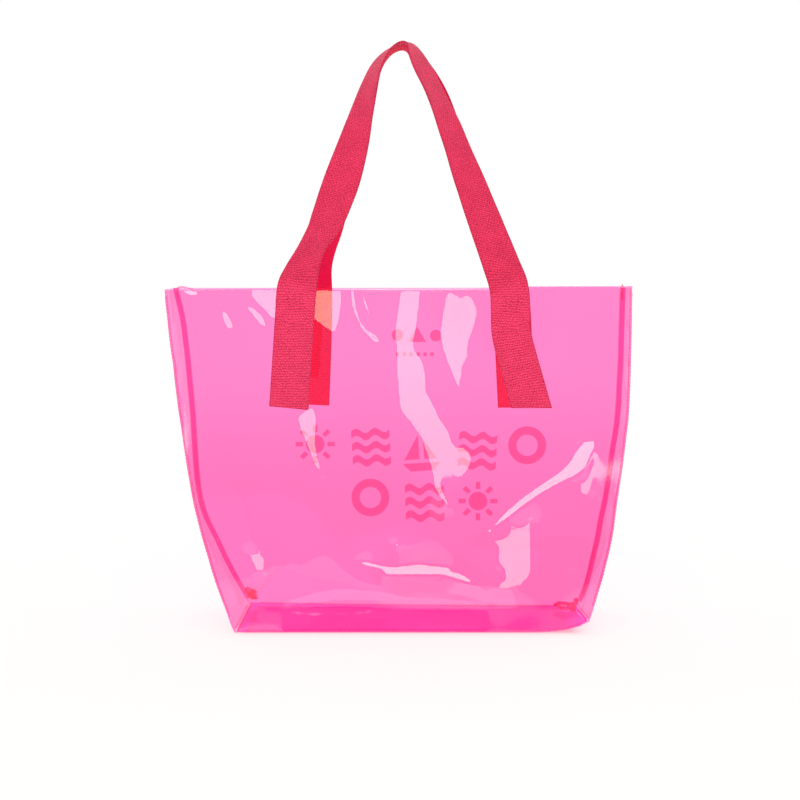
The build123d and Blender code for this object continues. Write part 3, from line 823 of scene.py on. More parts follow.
def web_material(name, inner_weave=OUTER_WEAVE, inner_end_painted_light=OUTER_END_PAINTED_LIGHT):
    """Twill webbing. The weave map holds u across and v, the way from the nearer end, in mm."""
    rib_pitch, warp_pitch = 2.4, 2.5
    material, graph = new_material(name)
    weave = graph.axes(graph.node("ShaderNodeUVMap", uv_map="weave").outputs[0])
    inner = graph.math("GREATER_THAN", weave[0], 40.0)
    u = graph.sub(weave[0], graph.mul(inner, INNER_U_SHIFT))
    v = weave[1]
    place = graph.node("ShaderNodeCombineXYZ", {0: u, 1: v, 2: inner}).outputs[0]

    def wobble(scale, detail, amount):
        return graph.mul(graph.sub(graph.noise(place, scale, detail), 0.5), amount)

    def wave(angle):
        return graph.add(0.5, graph.mul(0.5, graph.math("SINE", angle)))

    def vector_mix(factor, a, b):
        return graph.node("ShaderNodeMix", {0: factor, 4: a, 5: b},
                          data_type="VECTOR").outputs[1]

    jitter = wobble(0.24, 3.0, 3.4)
    slant = graph.map_range(v, 105, 165, to=(0.08, 0.62))
    phase = graph.add(graph.sub(v, graph.mul(u, slant)), jitter)
    rib = wave(graph.mul(phase, 2 * math.pi / rib_pitch))
    warp = wave(graph.add(
        graph.mul(graph.add(u, wobble(0.33, 2.0, 3.0)), 2 * math.pi / warp_pitch),
        graph.mul(phase, math.pi / rib_pitch)))
    grain = graph.noise(place, 0.62, 4.0, 0.75)
    patch = graph.noise(place, 0.055, 2.0)
    height = graph.add(graph.mul(rib, 0.11), graph.mul(graph.mul(warp, rib), 0.27))
    height = graph.add(height, graph.mul(grain, 1.0))
    selvedge = graph.mul(graph.sub(graph.math("ABSOLUTE", u), 17.2), 0.55, clamp=True)
    shade = graph.add(graph.mul(height, 0.9), graph.mul(patch, 0.18))

    # painted light at the sewn ends: the gain comes in at once on the outer face and slowly
    # on the inner one
    ends = graph.map_range(v, 122, 113, kind="LINEAR")
    soft_ends = graph.map_range(v, 125, 93)
    plain = (1.0, 1.0, 1.0)
    end_painted_light = vector_mix(inner, vector_mix(ends, plain, OUTER_END_PAINTED_LIGHT),
                      vector_mix(soft_ends, plain, inner_end_painted_light))
    span = (0.42, 0.96)
    # the inner face has its own weave colours; the front handle's are a darker copy, painted
    # shade
    color = vector_mix(inner, graph.ramp(shade, *OUTER_WEAVE, span),
                       graph.ramp(shade, *inner_weave, span))
    color = graph.node("ShaderNodeVectorMath", {0: color, 1: end_painted_light}, operation="MULTIPLY")
    color = graph.node("ShaderNodeVectorMath", {
        0: color.outputs[0], "Scale": graph.sub(1.0, graph.mul(selvedge, 0.22))},
        operation="SCALE")
    graph.output(graph.node("ShaderNodeBsdfPrincipled", {
        "Base Color": color.outputs[0], "Roughness": 0.72, "Specular IOR Level": 0.16,
        "Sheen Weight": 0.08, "Sheen Roughness": 0.4, "Sheen Tint": (1.0, 0.45, 0.55, 1),
        "Normal": graph.bump(height, strength=0.8, distance=0.0006)}).outputs[0])
    return material


def thread_material(name, color):
    material, graph = new_material(name)
    place = graph.node("ShaderNodeTexCoord").outputs["Object"]
    twist = graph.node("ShaderNodeTexWave", {
        "Vector": place, "Scale": 900.0, "Distortion": 1.5}).outputs["Fac"]
    graph.output(graph.node("ShaderNodeBsdfPrincipled", {
        "Base Color": graph.ramp(twist, [c * 0.6 for c in color], color), "Roughness": 0.45,
        "Normal": graph.bump(twist, strength=0.4, distance=0.0001)}).outputs[0])
    return material


# the panel and gusset films carry painted shade low on the bag
FILM = film_material("pink_film", (1.03, 0.720, 0.903), graze=0.8, low_painted_shade=0.24)
SIDE_FILM = film_material("pink_film_side", (1.02, 0.868, 0.965), graze=0.22, low_painted_shade=0.35)
# painted shade: the base film has a deeper tint, standing for the floor under the bag lit pink
# through the film
BASE_PAINTED_SHADE_FILM = film_material("pink_film_base_painted_shade", (1.03, 0.475, 0.94), graze=0.30, rough=0.06,
                          ripple=0.5)
CUT_EDGE = film_material("pink_film_cut_edge", (1.0, 0.66, 0.85), graze=0.4, rough=0.12,
                         ripple=0.0, haze=0.10, haze_color=(0.95, 0.25, 0.5))
CRUMPLED = film_material("pink_film_crumpled", (1.0, 0.34, 0.80), graze=0.4, rough=0.1,
                         ripple=0.2, haze=0.30, haze_color=(0.94, 0.012, 0.26))
GATHERED = film_material("pink_film_gathered", (1.0, 0.60, 0.74), graze=0.4, rough=0.1,
                         ripple=0.2, haze=0.13, haze_color=(0.98, 0.08, 0.18))
INK = film_material("pink_ink", (0.99, 0.70, 0.83), graze=0.4, rough=0.3, ripple=0.0,
                    haze=0.08, haze_color=(0.95, 0.10, 0.38))
# painted light brightens the webbing at its sewn ends
REAR_WEB = web_material("crimson_webbing")
# the front handle's inner face is painted darker, as shade
FRONT_WEB = web_material("crimson_webbing_front", FRONT_INNER_SHADED_WEAVE, FRONT_INNER_END_PAINTED_LIGHT)
SEAM_THREAD = thread_material("seam_thread", (0.80, 0.05, 0.26))
WEB_THREAD = thread_material("webbing_thread", (0.84, 0.035, 0.12))


# ---------------------------------------------------------------- panels and gussets
def panel(name, panel_point, columns, rows, face):
    u, t = np.meshgrid(np.linspace(0, 1, columns), np.linspace(0, 1, rows))
    film = sheet(f"{name}_film", panel_point(u, t), (0, face, 0), [FILM, CUT_EDGE])
    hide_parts(name)
    return film


def side_flange(side):
    """Allowance turned in at the side of the rear panel, just inside the gusset."""
    rows = []
    for t in np.linspace(0.045, 0.992, 90):
        x, y, z = point_on(rear_point, side_u(side), t)
        rows.append([[x - side * (0.9 + 0.01 * depth), y + depth, z]
                     for depth in np.linspace(0.9, 8.0, 5)])
    return sheet("flange", np.array(rows), (side, 0, 0), [FILM, CUT_EDGE])


def front_lap(side, gap, outer, inner, top):
    """Lap of film behind a side edge of the front panel, from outer to inner off the edge."""
    rows = []
    for t in np.linspace(0.02, top, 120):
        z = 0.6 + (RIM_Z - 0.9) * t
        x = front_edge(side, z) - side * np.linspace(outer, inner, 6)
        height = np.full_like(x, z)
        rows.append(np.stack([x, front_y(x, height) - gap - FILM_THICKNESS, height], -1))
    return sheet("lap", np.array(rows), (0, 1, 0), [FILM, CUT_EDGE])


def gusset(name, side):
    """Bowed side sheet, with its front allowance turned in behind the front panel."""
    s = np.linspace(0, 1, 44)               # from the rear panel to the front panel
    arch = np.sin(np.pi * s)
    rows = []
    for t in np.linspace(0, 1, 150):
        rear = point_on(rear_point, side_u(side), t) + np.array([-side * 0.15, 0.55, 0])
        front = point_on(front_point, side_u(side), t) + np.array([-side * 0.8, -1.2, 0])
        points = rear + (front - rear) * s[:, None]
        z = points[:, 2]
        bow = arch * (2.6 * math.sin(math.pi * min(t * 1.05, 1))
                      - 3.2 * math.exp(-(t / 0.16) ** 2) * arch)
        ripple = (0.7 * np.sin(z / 19.0 + 5 * s) * arch ** 2
                  + 0.35 * np.sin(z / 8.0 - 9 * s) * arch ** 2)
        points[:, 0] += side * (bow + ripple)
        rows.append(points)
    film = sheet(f"{name}_film", np.array(rows), (side, 0, 0), [SIDE_FILM, CUT_EDGE])
    join(film, [front_lap(side, gap=0.95, outer=1.4, inner=6.2, top=1.0)])
    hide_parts(name)
    return film


rear_panel = panel("rear_panel", rear_point, columns=360, rows=264, face=-1)
front_panel = panel("front_panel", front_point, columns=190, rows=150, face=1)
join(rear_panel, [side_flange(-1), side_flange(1)])
join(front_panel, [front_lap(-1, gap=0.15, outer=0.4, inner=4.4, top=0.999),
                   front_lap(1, gap=0.15, outer=0.4, inner=4.6, top=0.999)])
left_gusset = gusset("left_gusset", -1)
right_gusset = gusset("right_gusset", 1)


# ---------------------------------------------------------------- base
def base_tray():
    """Shallow rippled tray, curling up at its rear right corner."""
    s = np.linspace(0.003, 0.997, 90)
    rear = rear_point(s, np.zeros_like(s)) + np.array([0, 0.7, 0.3])
    front = front_point(s, np.zeros_like(s)) + np.array([0, -1.9, 0.3])
    rows = []
    for v in np.linspace(0, 1, 60):
        points = rear * (1 - v) + front * v
        fade = (np.sin(np.pi * v) ** 0.6) * (np.sin(np.pi * s) ** 0.5)
        fold = np.exp(-((v - 0.80 - 0.05 * np.sin(5 * s)) / 0.07) ** 2) * np.sin(np.pi * s)
        ripple = (0.9 * np.sin(s * 9 + 2.2 * v) * np.sin(v * 7.0 + s * 3)
                  + 0.5 * np.sin(s * 23 - v * 5) + 1.5 + 2.6 * fold)
        points[:, 2] = 0.75 + fade * np.clip(ripple, 0, 5) * 0.7 + rear[:, 2] * (1 - v) ** 1.3
        points[:, 0] += -0.9 * np.sign(s - 0.5)
        rows.append(points)
    return sheet("base_panel_film", np.array(rows), (0, 0, 1), [BASE_PAINTED_SHADE_FILM, CUT_EDGE])


def foot_side(side, fractions, shift):
    """Straight path at the foot of a gusset, from the rear panel to the front panel."""
    part = fractions[:, None]
    return (point_on(rear_point, side_u(side), 0.0) * (1 - part)
            + point_on(front_point, side_u(side), 0.0) * part + np.array(shift))


def base_edge(path, inward, height, material=BASE_PAINTED_SHADE_FILM, thickness=0.9):
    """Turned-up edge of the base: a low band standing on a path."""
    inward = np.array(inward)
    rows = [[point + np.array([0, 0, h]) + inward * (0.02 * h) for point in path]
            for h in np.linspace(0.2, height, 5)]
    return sheet("base_edge", np.array(rows), -inward, [material], thickness)


base = base_tray()
along_rear, along_front = np.linspace(0.02, 0.98, 80), np.linspace(0.01, 0.99, 80)
along_side = np.linspace(0.02, 0.98, 40)
join(base, [
    base_edge(rear_point(along_rear, np.zeros(80)) + np.array([0, 1.0, 0.2]),
              (0, 1.0, 0), height=2.6),
    base_edge(front_point(along_front, np.zeros(80)) + np.array([0, -1.9, 0.0]),
              (0, -1.0, 0), height=2.0, thickness=0.5),
    base_edge(foot_side(-1, along_side, (2.6, 0, 0.2)), (1.0, 0, 0), height=2.8,
              material=GATHERED),
    base_edge(foot_side(1, along_side, (-2.6, 0, 0.2)), (-1.0, 0, 0), height=2.6)])
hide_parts("base_panel")


# ---------------------------------------------------------------- gathered seam ends
def gather(origin, offsets, radius, wobble, seed, material):
    """Crumpled roll of film along a path."""
    ring, lobes = 20, 3
    phase = np.random.default_rng(seed).uniform(0, 6.28, 4)
    path = np.array(origin + np.array(offsets), float)
    centres = smooth_curve(path, arc_lengths(path), count=36, radius=6, sigma=2.0)
    last = len(centres) - 1
    points, faces = [], []
    for i, centre in enumerate(centres):
        forward = unit(centres[min(i + 1, last)] - centres[max(i - 1, 0)])
        across = unit(np.cross(forward, [0.2, 0.9, 0.3]))
        up = np.cross(forward, across)
        f = i / last
        swell = math.sin(math.pi * min(max(f, 0.02), 0.98)) ** 0.45
        for j in range(ring):
            angle = 2 * math.pi * j / ring
            r = radius * swell * (
                1 + wobble * math.sin(lobes * angle + phase[0] + 5 * f)
                + wobble * 0.6 * math.sin((lobes + 2) * angle - 9 * f + phase[1]))
            points.append(centre + r * (across * math.cos(angle)
                                        + up * math.sin(angle) * 0.75))
    for i in range(last):
        for j in range(ring):
            k = (j + 1) % ring
            faces.append((i * ring + j, i * ring + k, (i + 1) * ring + k, (i + 1) * ring + j))
    faces.append(tuple(range(ring))[::-1])
    faces.append(tuple(last * ring + j for j in range(ring)))
    mesh = smooth_mesh("gather", points, faces)
    face_outwards(mesh)
    return link("gather", mesh, [material])


left_foot = point_on(front_point, 0.012, 0.012)
left_tip = point_on(front_point, 0.010, 1.0)
right_tip = point_on(front_point, 0.991, 1.0)
ORIGIN = np.zeros(3)
# Two rolls in the front left bottom corner and a folded tip at the left end of the rim:
# origin, offsets from it, radius, wobble, seed, material
LEFT_GATHERS = [
    (left_foot, [(-4.5, -6, 15), (-2.5, -6, 11), (0.5, -6, 8), (3.4, -7, 5.5), (4.6, -7, 2.6)],
     3.9, 0.36, 3, GATHERED),
    (left_foot, [(7.5, -7, 10), (3.0, -9, 11), (-1.5, -9, 7.5), (2.0, -8, 4.2), (8.0, -5, 3.4)],
     2.1, 0.34, 11, GATHERED),
    (left_tip, [(1.0, -1.2, -16), (-0.4, -1.3, -5), (-0.2, -1.3, 0.8), (3.4, -1.3, 1.2),
                (9.0, -1.3, 0.4), (17, -1.3, -1.2)], 0.85, 0.2, 8, CUT_EDGE)]
# Three rolls near the front right bottom corner and a tip at the right end of the rim
RIGHT_GATHERS = [
    (ORIGIN, [(176.5, 58, 11), (174, 50, 6.5), (169, 40, 5.2), (169.5, 28, 4.6),
              (172.5, 17, 4.4)], 3.2, 0.36, 5, CRUMPLED),
    (ORIGIN, [(151, 45, 6.0), (158, 40, 9.0), (165, 41, 8.0), (172, 45, 5.6)],
     1.7, 0.3, 6, CRUMPLED),
    (ORIGIN, [(152, 46, 5.4), (160, 36, 4.0), (168, 34, 4.0)], 1.5, 0.3, 7, CRUMPLED),
    (right_tip, [(0.5, -1.5, -14), (0.4, -1.6, -6), (0.6, -1.4, 3.0)], 1.0, 0.25, 9, GATHERED)]
join(left_gusset, [gather(*entry) for entry in LEFT_GATHERS])
join(right_gusset, [gather(*entry) for entry in RIGHT_GATHERS])

# ---------------------------------------------------------------- webbing handles
# Middle line of each strip, from the left foot over the top to the right foot:
# (x, z, twist in degrees)
REAR_LEGS = [
    (-112.7, 215.9, 0), (-110.8, 245, 0), (-108.9, 275, 0), (-107.0, 305, 0), (-106.2, 322, 0),
    (-105.4, 331.4, 3), (-102.6, 339.1, 14), (-99.5, 348.7, 28), (-95.5, 358.4, 40),
    (-91.0, 368.0, 45), (-86.0, 377.6, 45), (-79.5, 387.3, 36), (-75.4, 396.9, 28),
    (-71.6, 406.6, 25), (-68.3, 416.2, 22), (-64.6, 425.9, 20), (-61.2, 435.6, 20),
    (-57.9, 445.2, 24), (-54.7, 454.9, 29), (-51.6, 464.6, 34), (-48.7, 474.3, 39),
    (-46.1, 484.0, 44), (-43.5, 493.6, 50), (-40.8, 503.3, 54), (-38.0, 513, 58),
    (-35.3, 522.7, 62), (-32.2, 532.5, 67), (-28.8, 542.2, 71), (-24.4, 550.2, 75.5),
    (-19.0, 557.2, 81), (-13.6, 562.0, 85.5), (-8.4, 565.2, 88), (-3.6, 567.0, 89),
    (0.4, 567.8, 88), (3.2, 567.0, 83), (5.2, 564.4, 76), (6.9, 560.4, 71), (9.0, 556.0, 68),
    (11.4, 551.3, 65.5), (14.0, 546.3, 63.5), (16.7, 541, 62), (21.2, 532.5, 62),
    (26.0, 522.7, 62), (30.3, 513, 60.5), (34.6, 503.3, 58), (38.8, 493.6, 54), (42.5, 484, 51),
    (46.2, 474.3, 50), (49.8, 464.6, 48), (53.4, 454.9, 45), (57.1, 445.2, 41),
    (60.9, 435.6, 38), (64.7, 425.9, 36), (68.3, 416.2, 33), (72.0, 406.6, 31),
    (75.8, 396.9, 28), (79.5, 387.3, 26), (83.2, 377.6, 24), (87, 368, 21), (90.6, 358.4, 18),
    (94.2, 348.7, 15), (97.8, 339.1, 9), (99.8, 331.4, 4), (101.0, 322, 0), (101.3, 305, 0),
    (101.4, 291, 0), (103.2, 281, 0), (109.4, 258, 0), (115.5, 237, 0), (121.5, 215.8, 0)]
FRONT_LEGS = [
    (-96.9, 210, 0), (-95.6, 240, 0), (-94.4, 270, 0), (-93.5, 300, 0), (-93.3, 322, 2),
    (-92.9, 331, 10), (-92.2, 338, 20), (-90.6, 348, 30), (-88.0, 358, 37), (-84.9, 368, 39),
    (-81.5, 378, 39), (-78.4, 388, 36), (-76.0, 398, 34), (-73.6, 408, 32), (-70.4, 418, 30),
    (-66.7, 428, 29), (-63.1, 438, 28), (-59.5, 447.8, 32), (-56.0, 457.7, 36),
    (-52.8, 467.6, 40), (-49.8, 477.5, 46), (-47.0, 487.3, 51), (-44.4, 497.1, 57),
    (-41.5, 507, 61), (-38.5, 516.7, 65), (-35.5, 526.5, 69), (-32.3, 536.3, 73),
    (-29.0, 546, 77), (-24.4, 554.0, 81), (-18.4, 561.0, 85), (-11.5, 565.6, 88),
    (-4.5, 568.0, 89), (1.2, 568.0, 88), (5.4, 565.0, 82), (8.4, 560.2, 76), (11.4, 555.0, 72),
    (14.9, 549.6, 70), (19, 544.5, 68), (24.1, 536.3, 66), (29.4, 526.5, 64),
    (33.9, 516.7, 62.5), (37.7, 507, 62), (41.2, 497.1, 61), (44.6, 487.3, 60),
    (48.1, 477.5, 59), (51.9, 467.6, 57), (55.7, 457.7, 54), (59.5, 447.8, 51),
    (63.4, 437.9, 48.5), (67.4, 427.9, 46), (71.3, 418, 43), (75.2, 408, 40), (79.2, 398, 38),
    (83.2, 388, 36), (87.4, 378, 34), (91.4, 368, 31), (95.1, 358, 28), (99, 348, 24),
    (102.6, 338, 16), (104.8, 331, 8), (106.4, 324, 2), (107.6, 312, 0), (108.8, 300, 0),
    (110.6, 265, 0), (112.2, 235, 0), (113.8, 207, 0)]
# Cross-section of the webbing: places across it and half thickness there
WEB_U = np.array([-19, -18.85, -18.4, -17.4, -15, -12, -8, -4, 0,
                  4, 8, 12, 15, 17.4, 18.4, 18.85, 19.0])
WEB_HALF = [0.12, 0.45, 0.74, 0.95] + [0.90] * 9 + [0.95, 0.74, 0.45, 0.12]


def handle_surfaces(x, z, twist, arc, face, cut_slopes):
    """Outer and inner grids of points of a strip of webbing along its middle line."""
    tangent = unit(np.stack([np.gradient(x), np.gradient(z)], -1))
    above_rim = np.clip((z - 335) / 235.0, 0, None)
    outer, inner = [], []
    for i, height in enumerate(z):
        along_x, along_z = tangent[i]
        forward = unit(np.array([along_x, LEAN * -face * along_z, along_z]))
        away = np.array([-along_z, 0, along_x])     # in the handle's plane, off its middle
        normal = math.cos(twist[i]) * panel_normal(face) + math.sin(twist[i]) * away
        normal = unit(normal - forward * (normal @ forward))
        across = np.cross(forward, normal)
        # the cut ends are slanted
        from_end = min(arc[i], arc[-1] - arc[i])
        shear = cut_slopes[0 if i < len(x) // 2 else 1] * max(0.0, 1 - from_end / 26.0)
        # leans in above the rim, so that the twisted part clears the panel and the sewn end
        # when the handle hangs down
        lean_in = 12.5 * smoothstep(height, 329, 355) * (1 - smoothstep(height, 392, 490))
        y = face * (FOOT_DEPTH - LEAN * height - 6.0 * above_rim[i] ** 1.5 - lean_in)
        on_film = 1 - smoothstep(height, 330, 343)
        swell = 0.56 + 0.44 * smoothstep(height, 318, 345)    # pressed flat where sewn down
        outer_row, inner_row = [], []
        for u, half in zip(WEB_U, WEB_HALF):
            point = np.array([x[i], y, height]) + across * u + forward * shear * u
            if height < 350:
                film_y = (rear_y if face < 0 else front_y)(point[0], point[2])
                point[1] = point[1] * (1 - on_film) + float(film_y) * on_film
            middle = point + normal * (0.27 + swell * WEB_THICKNESS / 2)
            outer_row.append(middle + normal * half * swell)
            inner_row.append(middle - normal * half * swell)
        outer.append(outer_row)
        inner.append(inner_row)
    return np.array(outer), np.array(inner)


def handle(side, legs, face, cut_slopes, material):
    """One strip of webbing on the rear (-1) or front (1) panel. Returns the object, the grid of
    its outer face and the length along it at each row of the grid."""
    legs = np.array(legs, float)
    x, z, twist = smooth_curve(legs, arc_lengths(legs[:, :2]), count=520, radius=8, sigma=2.6,
                               mode="reflect", reflect_type="odd").T
    arc = arc_lengths(np.stack([x, z], -1))
    twist = np.radians(np.clip(twist, 0, 90))
    outer, inner = handle_surfaces(x, z, twist, arc, face, cut_slopes)
    front, back, rim = shell_faces(*outer.shape[:2])
    name = f"{side}_handle_webbing"
    mesh = smooth_mesh(name, np.concatenate([outer.reshape(-1, 3), inner.reshape(-1, 3)]),
                       np.concatenate([front, back, rim]).tolist())
    from_end = np.minimum(arc, arc[-1] - arc)
    weave = np.stack(np.broadcast_arrays(WEB_U[None, :], from_end[:, None]), -1).reshape(-1, 2)
    weave_map = np.concatenate([weave, weave + np.array([INNER_U_SHIFT, 0.0])])
    corner = np.zeros(len(mesh.loops), int)
    mesh.loops.foreach_get("vertex_index", corner)
    corner[8 * len(front):] %= len(weave)   # the rims take the outer face's map
    mesh.uv_layers.new(name="weave").data.foreach_set("uv", weave_map[corner].ravel())
    mesh.update()
    face_outwards(mesh)
    webbing = link(name, mesh, [material])
    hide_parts(f"{side}_handle_loop", f"{side}_handle_left_end",
                f"{side}_handle_right_end")
    return webbing, outer, arc


rear_handle, rear_grid, rear_arc = handle("rear", REAR_LEGS, -1, (-0.03, -0.283), REAR_WEB)
front_handle, front_grid, front_arc = handle("front", FRONT_LEGS, 1, (0.0, 0.05), FRONT_WEB)

# ---------------------------------------------------------------- stitching
WEB_STITCH = dict(pitch=3.1, length=2.3, start=0.4, radius=0.36, material=WEB_THREAD)
SEAM_STITCH = dict(pitch=3.4, length=2.5, start=2.0, radius=0.34, material=SEAM_THREAD)


def end_stitches(side, foot, grid, arc, top_z, face):
    """Box of stitches on the face of a sewn webbing end."""
    inset = 15.0                            # from the middle of the webbing to the long rows
    normal = panel_normal(face)
    if foot == "right":
        grid, arc = grid[::-1], (arc[-1] - arc)[::-1]
    rows = [i for i in range(len(grid) // 2)
            if grid[i, len(WEB_U) // 2, 2] < top_z and arc[i] > 4.0]

    def on_web(row, u):
        return np.array([np.interp(u, WEB_U, grid[row, :, i]) for i in range(3)]) + normal * 0.12

    paths = [[on_web(row, u) for row in rows] for u in (-inset, inset)]
    paths += [[on_web(row, u) for u in np.linspace(-inset, inset, 20)]
              for row in (rows[0], rows[-1])]
    return stitches(f"{side}_{foot}_end_stitches", paths, normal,
                    f"{side}_handle_{foot}_stitching", **WEB_STITCH)


def seam(place, path, normal):
    return stitches(f"{place}_seam_stitches", [path], normal, f"{place}_seam_thread",
                    **SEAM_STITCH)


def front_side_seam(place, side):
    z = np.linspace(12, RIM_Z - 4, 160)
    x = front_edge(side, z) - side * 4.6
    return seam(place, np.stack([x, front_y(x, z) + 0.15, z], -1), panel_normal(1))


def rear_side_seam(place, side):
    """On the gusset, just in from the rear panel."""
    heights = np.linspace(0.05, 0.985, 150)
    rear = np.array([point_on(rear_point, side_u(side), t) for t in heights])
    front = np.array([point_on(front_point, side_u(side), t) for t in heights])
    path = rear + unit(front - rear) * 4.4
    path[:, 0] += side * 0.42
    return seam(place, path, (side, 0, 0))


end_threads = [
    end_stitches("rear", "left", rear_grid, rear_arc, 297.5, -1),
    end_stitches("rear", "right", rear_grid, rear_arc, 290.5, -1),
    end_stitches("front", "left", front_grid, front_arc, 297.5, 1),
    end_stitches("front", "right", front_grid, front_arc, 297.5, 1),
]
SIDES = (("left", -1), ("right", 1))
seams = [front_side_seam(f"front_{word}", side) for word, side in SIDES]
seams += [rear_side_seam(f"rear_{word}", side) for word, side in SIDES]
across_base = np.linspace(0.03, 0.97, 200)
for word, panel_point, face in (("rear", rear_point, -1), ("front", front_point, 1)):
    foot_line = panel_point(across_base, np.zeros_like(across_base))
    seams.append(seam(f"base_{word}", foot_line + np.array([0, face * 0.12, 2.0]),
                      (0, face, 0)))
for word, side in SIDES:
    path = foot_side(side, np.linspace(0.06, 0.94, 60), (side * 0.1, 0, 2.4))
    seams.append(seam(f"base_{word}", path, (side, 0, 0)))


# ---------------------------------------------------------------- print on the front panel
def ink(cad_piece, loops):
    """Flat shapes, each a list of closed outlines with holes included, laid on the panel."""
    name = f"{cad_piece}_ink"
    half_thickness = 0.05
    curve = bpy.data.curves.new(name, "CURVE")
    curve.dimensions = "2D"
    curve.fill_mode = "BOTH"
    curve.extrude = half_thickness
    for outline in loops:
        spline = curve.splines.new("POLY")
        spline.points.add(len(outline) - 1)
        for point, (x, z) in zip(spline.points, outline):
            point.co = (x, z, 0, 1)
        spline.use_cyclic_u = True
    shape = bpy.data.objects.new(name + "_c", curve)
    bpy.context.scene.collection.objects.link(shape)
    depsgraph = bpy.context.evaluated_depsgraph_get()
    mesh = bpy.data.meshes.new_from_object(shape.evaluated_get(depsgraph))
    bpy.data.objects.remove(shape)
    bpy.data.curves.remove(curve)
    work = bmesh.new()
    work.from_mesh(mesh)
    bmesh.ops.remove_doubles(work, verts=work.verts, dist=1e-4)
    # cut into 4 mm squares, so that the ink can follow the film
    low = [min(v.co[axis] for v in work.verts) for axis in range(2)]
    high = [max(v.co[axis] for v in work.verts) for axis in range(2)]
    for axis in range(2):
        for cut in np.arange(math.ceil(low[axis] / 4) * 4 + 0.013, high[axis], 4.0):
            normal, place = [0, 0, 0], [0, 0, 0]
            normal[axis] = 1
            place[axis] = cut
            bmesh.ops.bisect_plane(work, geom=work.verts[:] + work.edges[:] + work.faces[:],
                                   plane_co=place, plane_no=normal, dist=1e-5)
    for v in work.verts:
        x, z, raised = v.co
        y = float(front_y(x, z)) + 0.12 + (raised + half_thickness)
        v.co = Vector((x, y, z)) * 0.001
    bmesh.ops.recalc_face_normals(work, faces=work.faces)
    work.to_mesh(mesh)
    work.free()
    mesh.materials.clear()
    printed = link(name, mesh, [INK])
    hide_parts(cad_piece)
    return printed


def circle(x, z, radius, count=40, reverse=False):
    angles = np.linspace(0, 2 * np.pi, count, endpoint=False)
    if reverse:
        angles = angles[::-1]
    return [(x + radius * math.cos(a), z + radius * math.sin(a)) for a in angles]


def turned(points, x, z, degrees, scale=1.0):
    cos, sin = math.cos(math.radians(degrees)), math.sin(math.radians(degrees))
    points = [(px * scale, pz * scale) for px, pz in points]
    return [(x + px * cos - pz * sin, z + px * sin + pz * cos) for px, pz in points]


def wave_icon(x, z, scale, degrees):
    bars = []
    for row in (-1, 0, 1):
        top = [(-20 + 40 * i / 24, 2.6 * math.sin(i / 24 * 4 * math.pi) + row * 14.0 + 3.6)
               for i in range(25)]
        bottom = [(px, pz - 7.6) for px, pz in reversed(top)]
        bars.append(turned(top + bottom, x, z, degrees, scale))
    return bars


def ring_icon(x, z):
    return [circle(x, z, 19.5), circle(x, z, 11.0, reverse=True)]


def sun_icon(x, z):
    ray = [(12.6, -2.3), (20, -2.3), (20, 2.3), (12.6, 2.3)]
    return [circle(x, z, 9.6)] + [turned(ray, x, z, 45 * i) for i in range(8)]


def boat_icon(x, z, scale, degrees):
    shapes = [[(-2, 19), (-2, -7), (-18, -7)], [(3, 14), (3, -7), (16, -7)],
              [(-20, -11), (20, -11), (12, -19.5), (-12, -19.5)]]
    return [turned(shape, x, z, degrees, scale) for shape in shapes]


upper_row = (sun_icon(-92.6, 169.0) + wave_icon(-35.2, 166.0, 0.98, 3)
             + boat_icon(16.0, 160.5, 0.98, 4) + wave_icon(74.0, 162.5, 0.98, -3)
             + ring_icon(125.0, 168.0))
lower_row = ring_icon(-36.0, 113.5) + wave_icon(20.0, 108.6, 1.0, 2) + sun_icon(74.8, 110.0)
small_mark = [[(12, 290), (21, 274.5), (3, 274.5)], circle(-8, 281.5, 6.0),
              circle(31, 281.0, 6.0)]
small_mark += [circle(x, 262, 2.1, 16) for x in (-8, -1, 6, 13, 20, 27)]
inks = [ink("printed_upper_row", upper_row), ink("printed_lower_row", lower_row),
        ink("printed_small_mark", small_mark)]

# ---------------------------------------------------------------- bodies
films = [rear_panel, front_panel, left_gusset, right_gusset, base]
for pieces, slot in ((films, "pink_film"), (end_threads, "webbing_thread"),
                     (seams, "seam_thread"), (inks, "pink_ink")):
    for piece in pieces:
        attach(piece, "bag")
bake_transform(rear_handle)
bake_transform(front_handle)


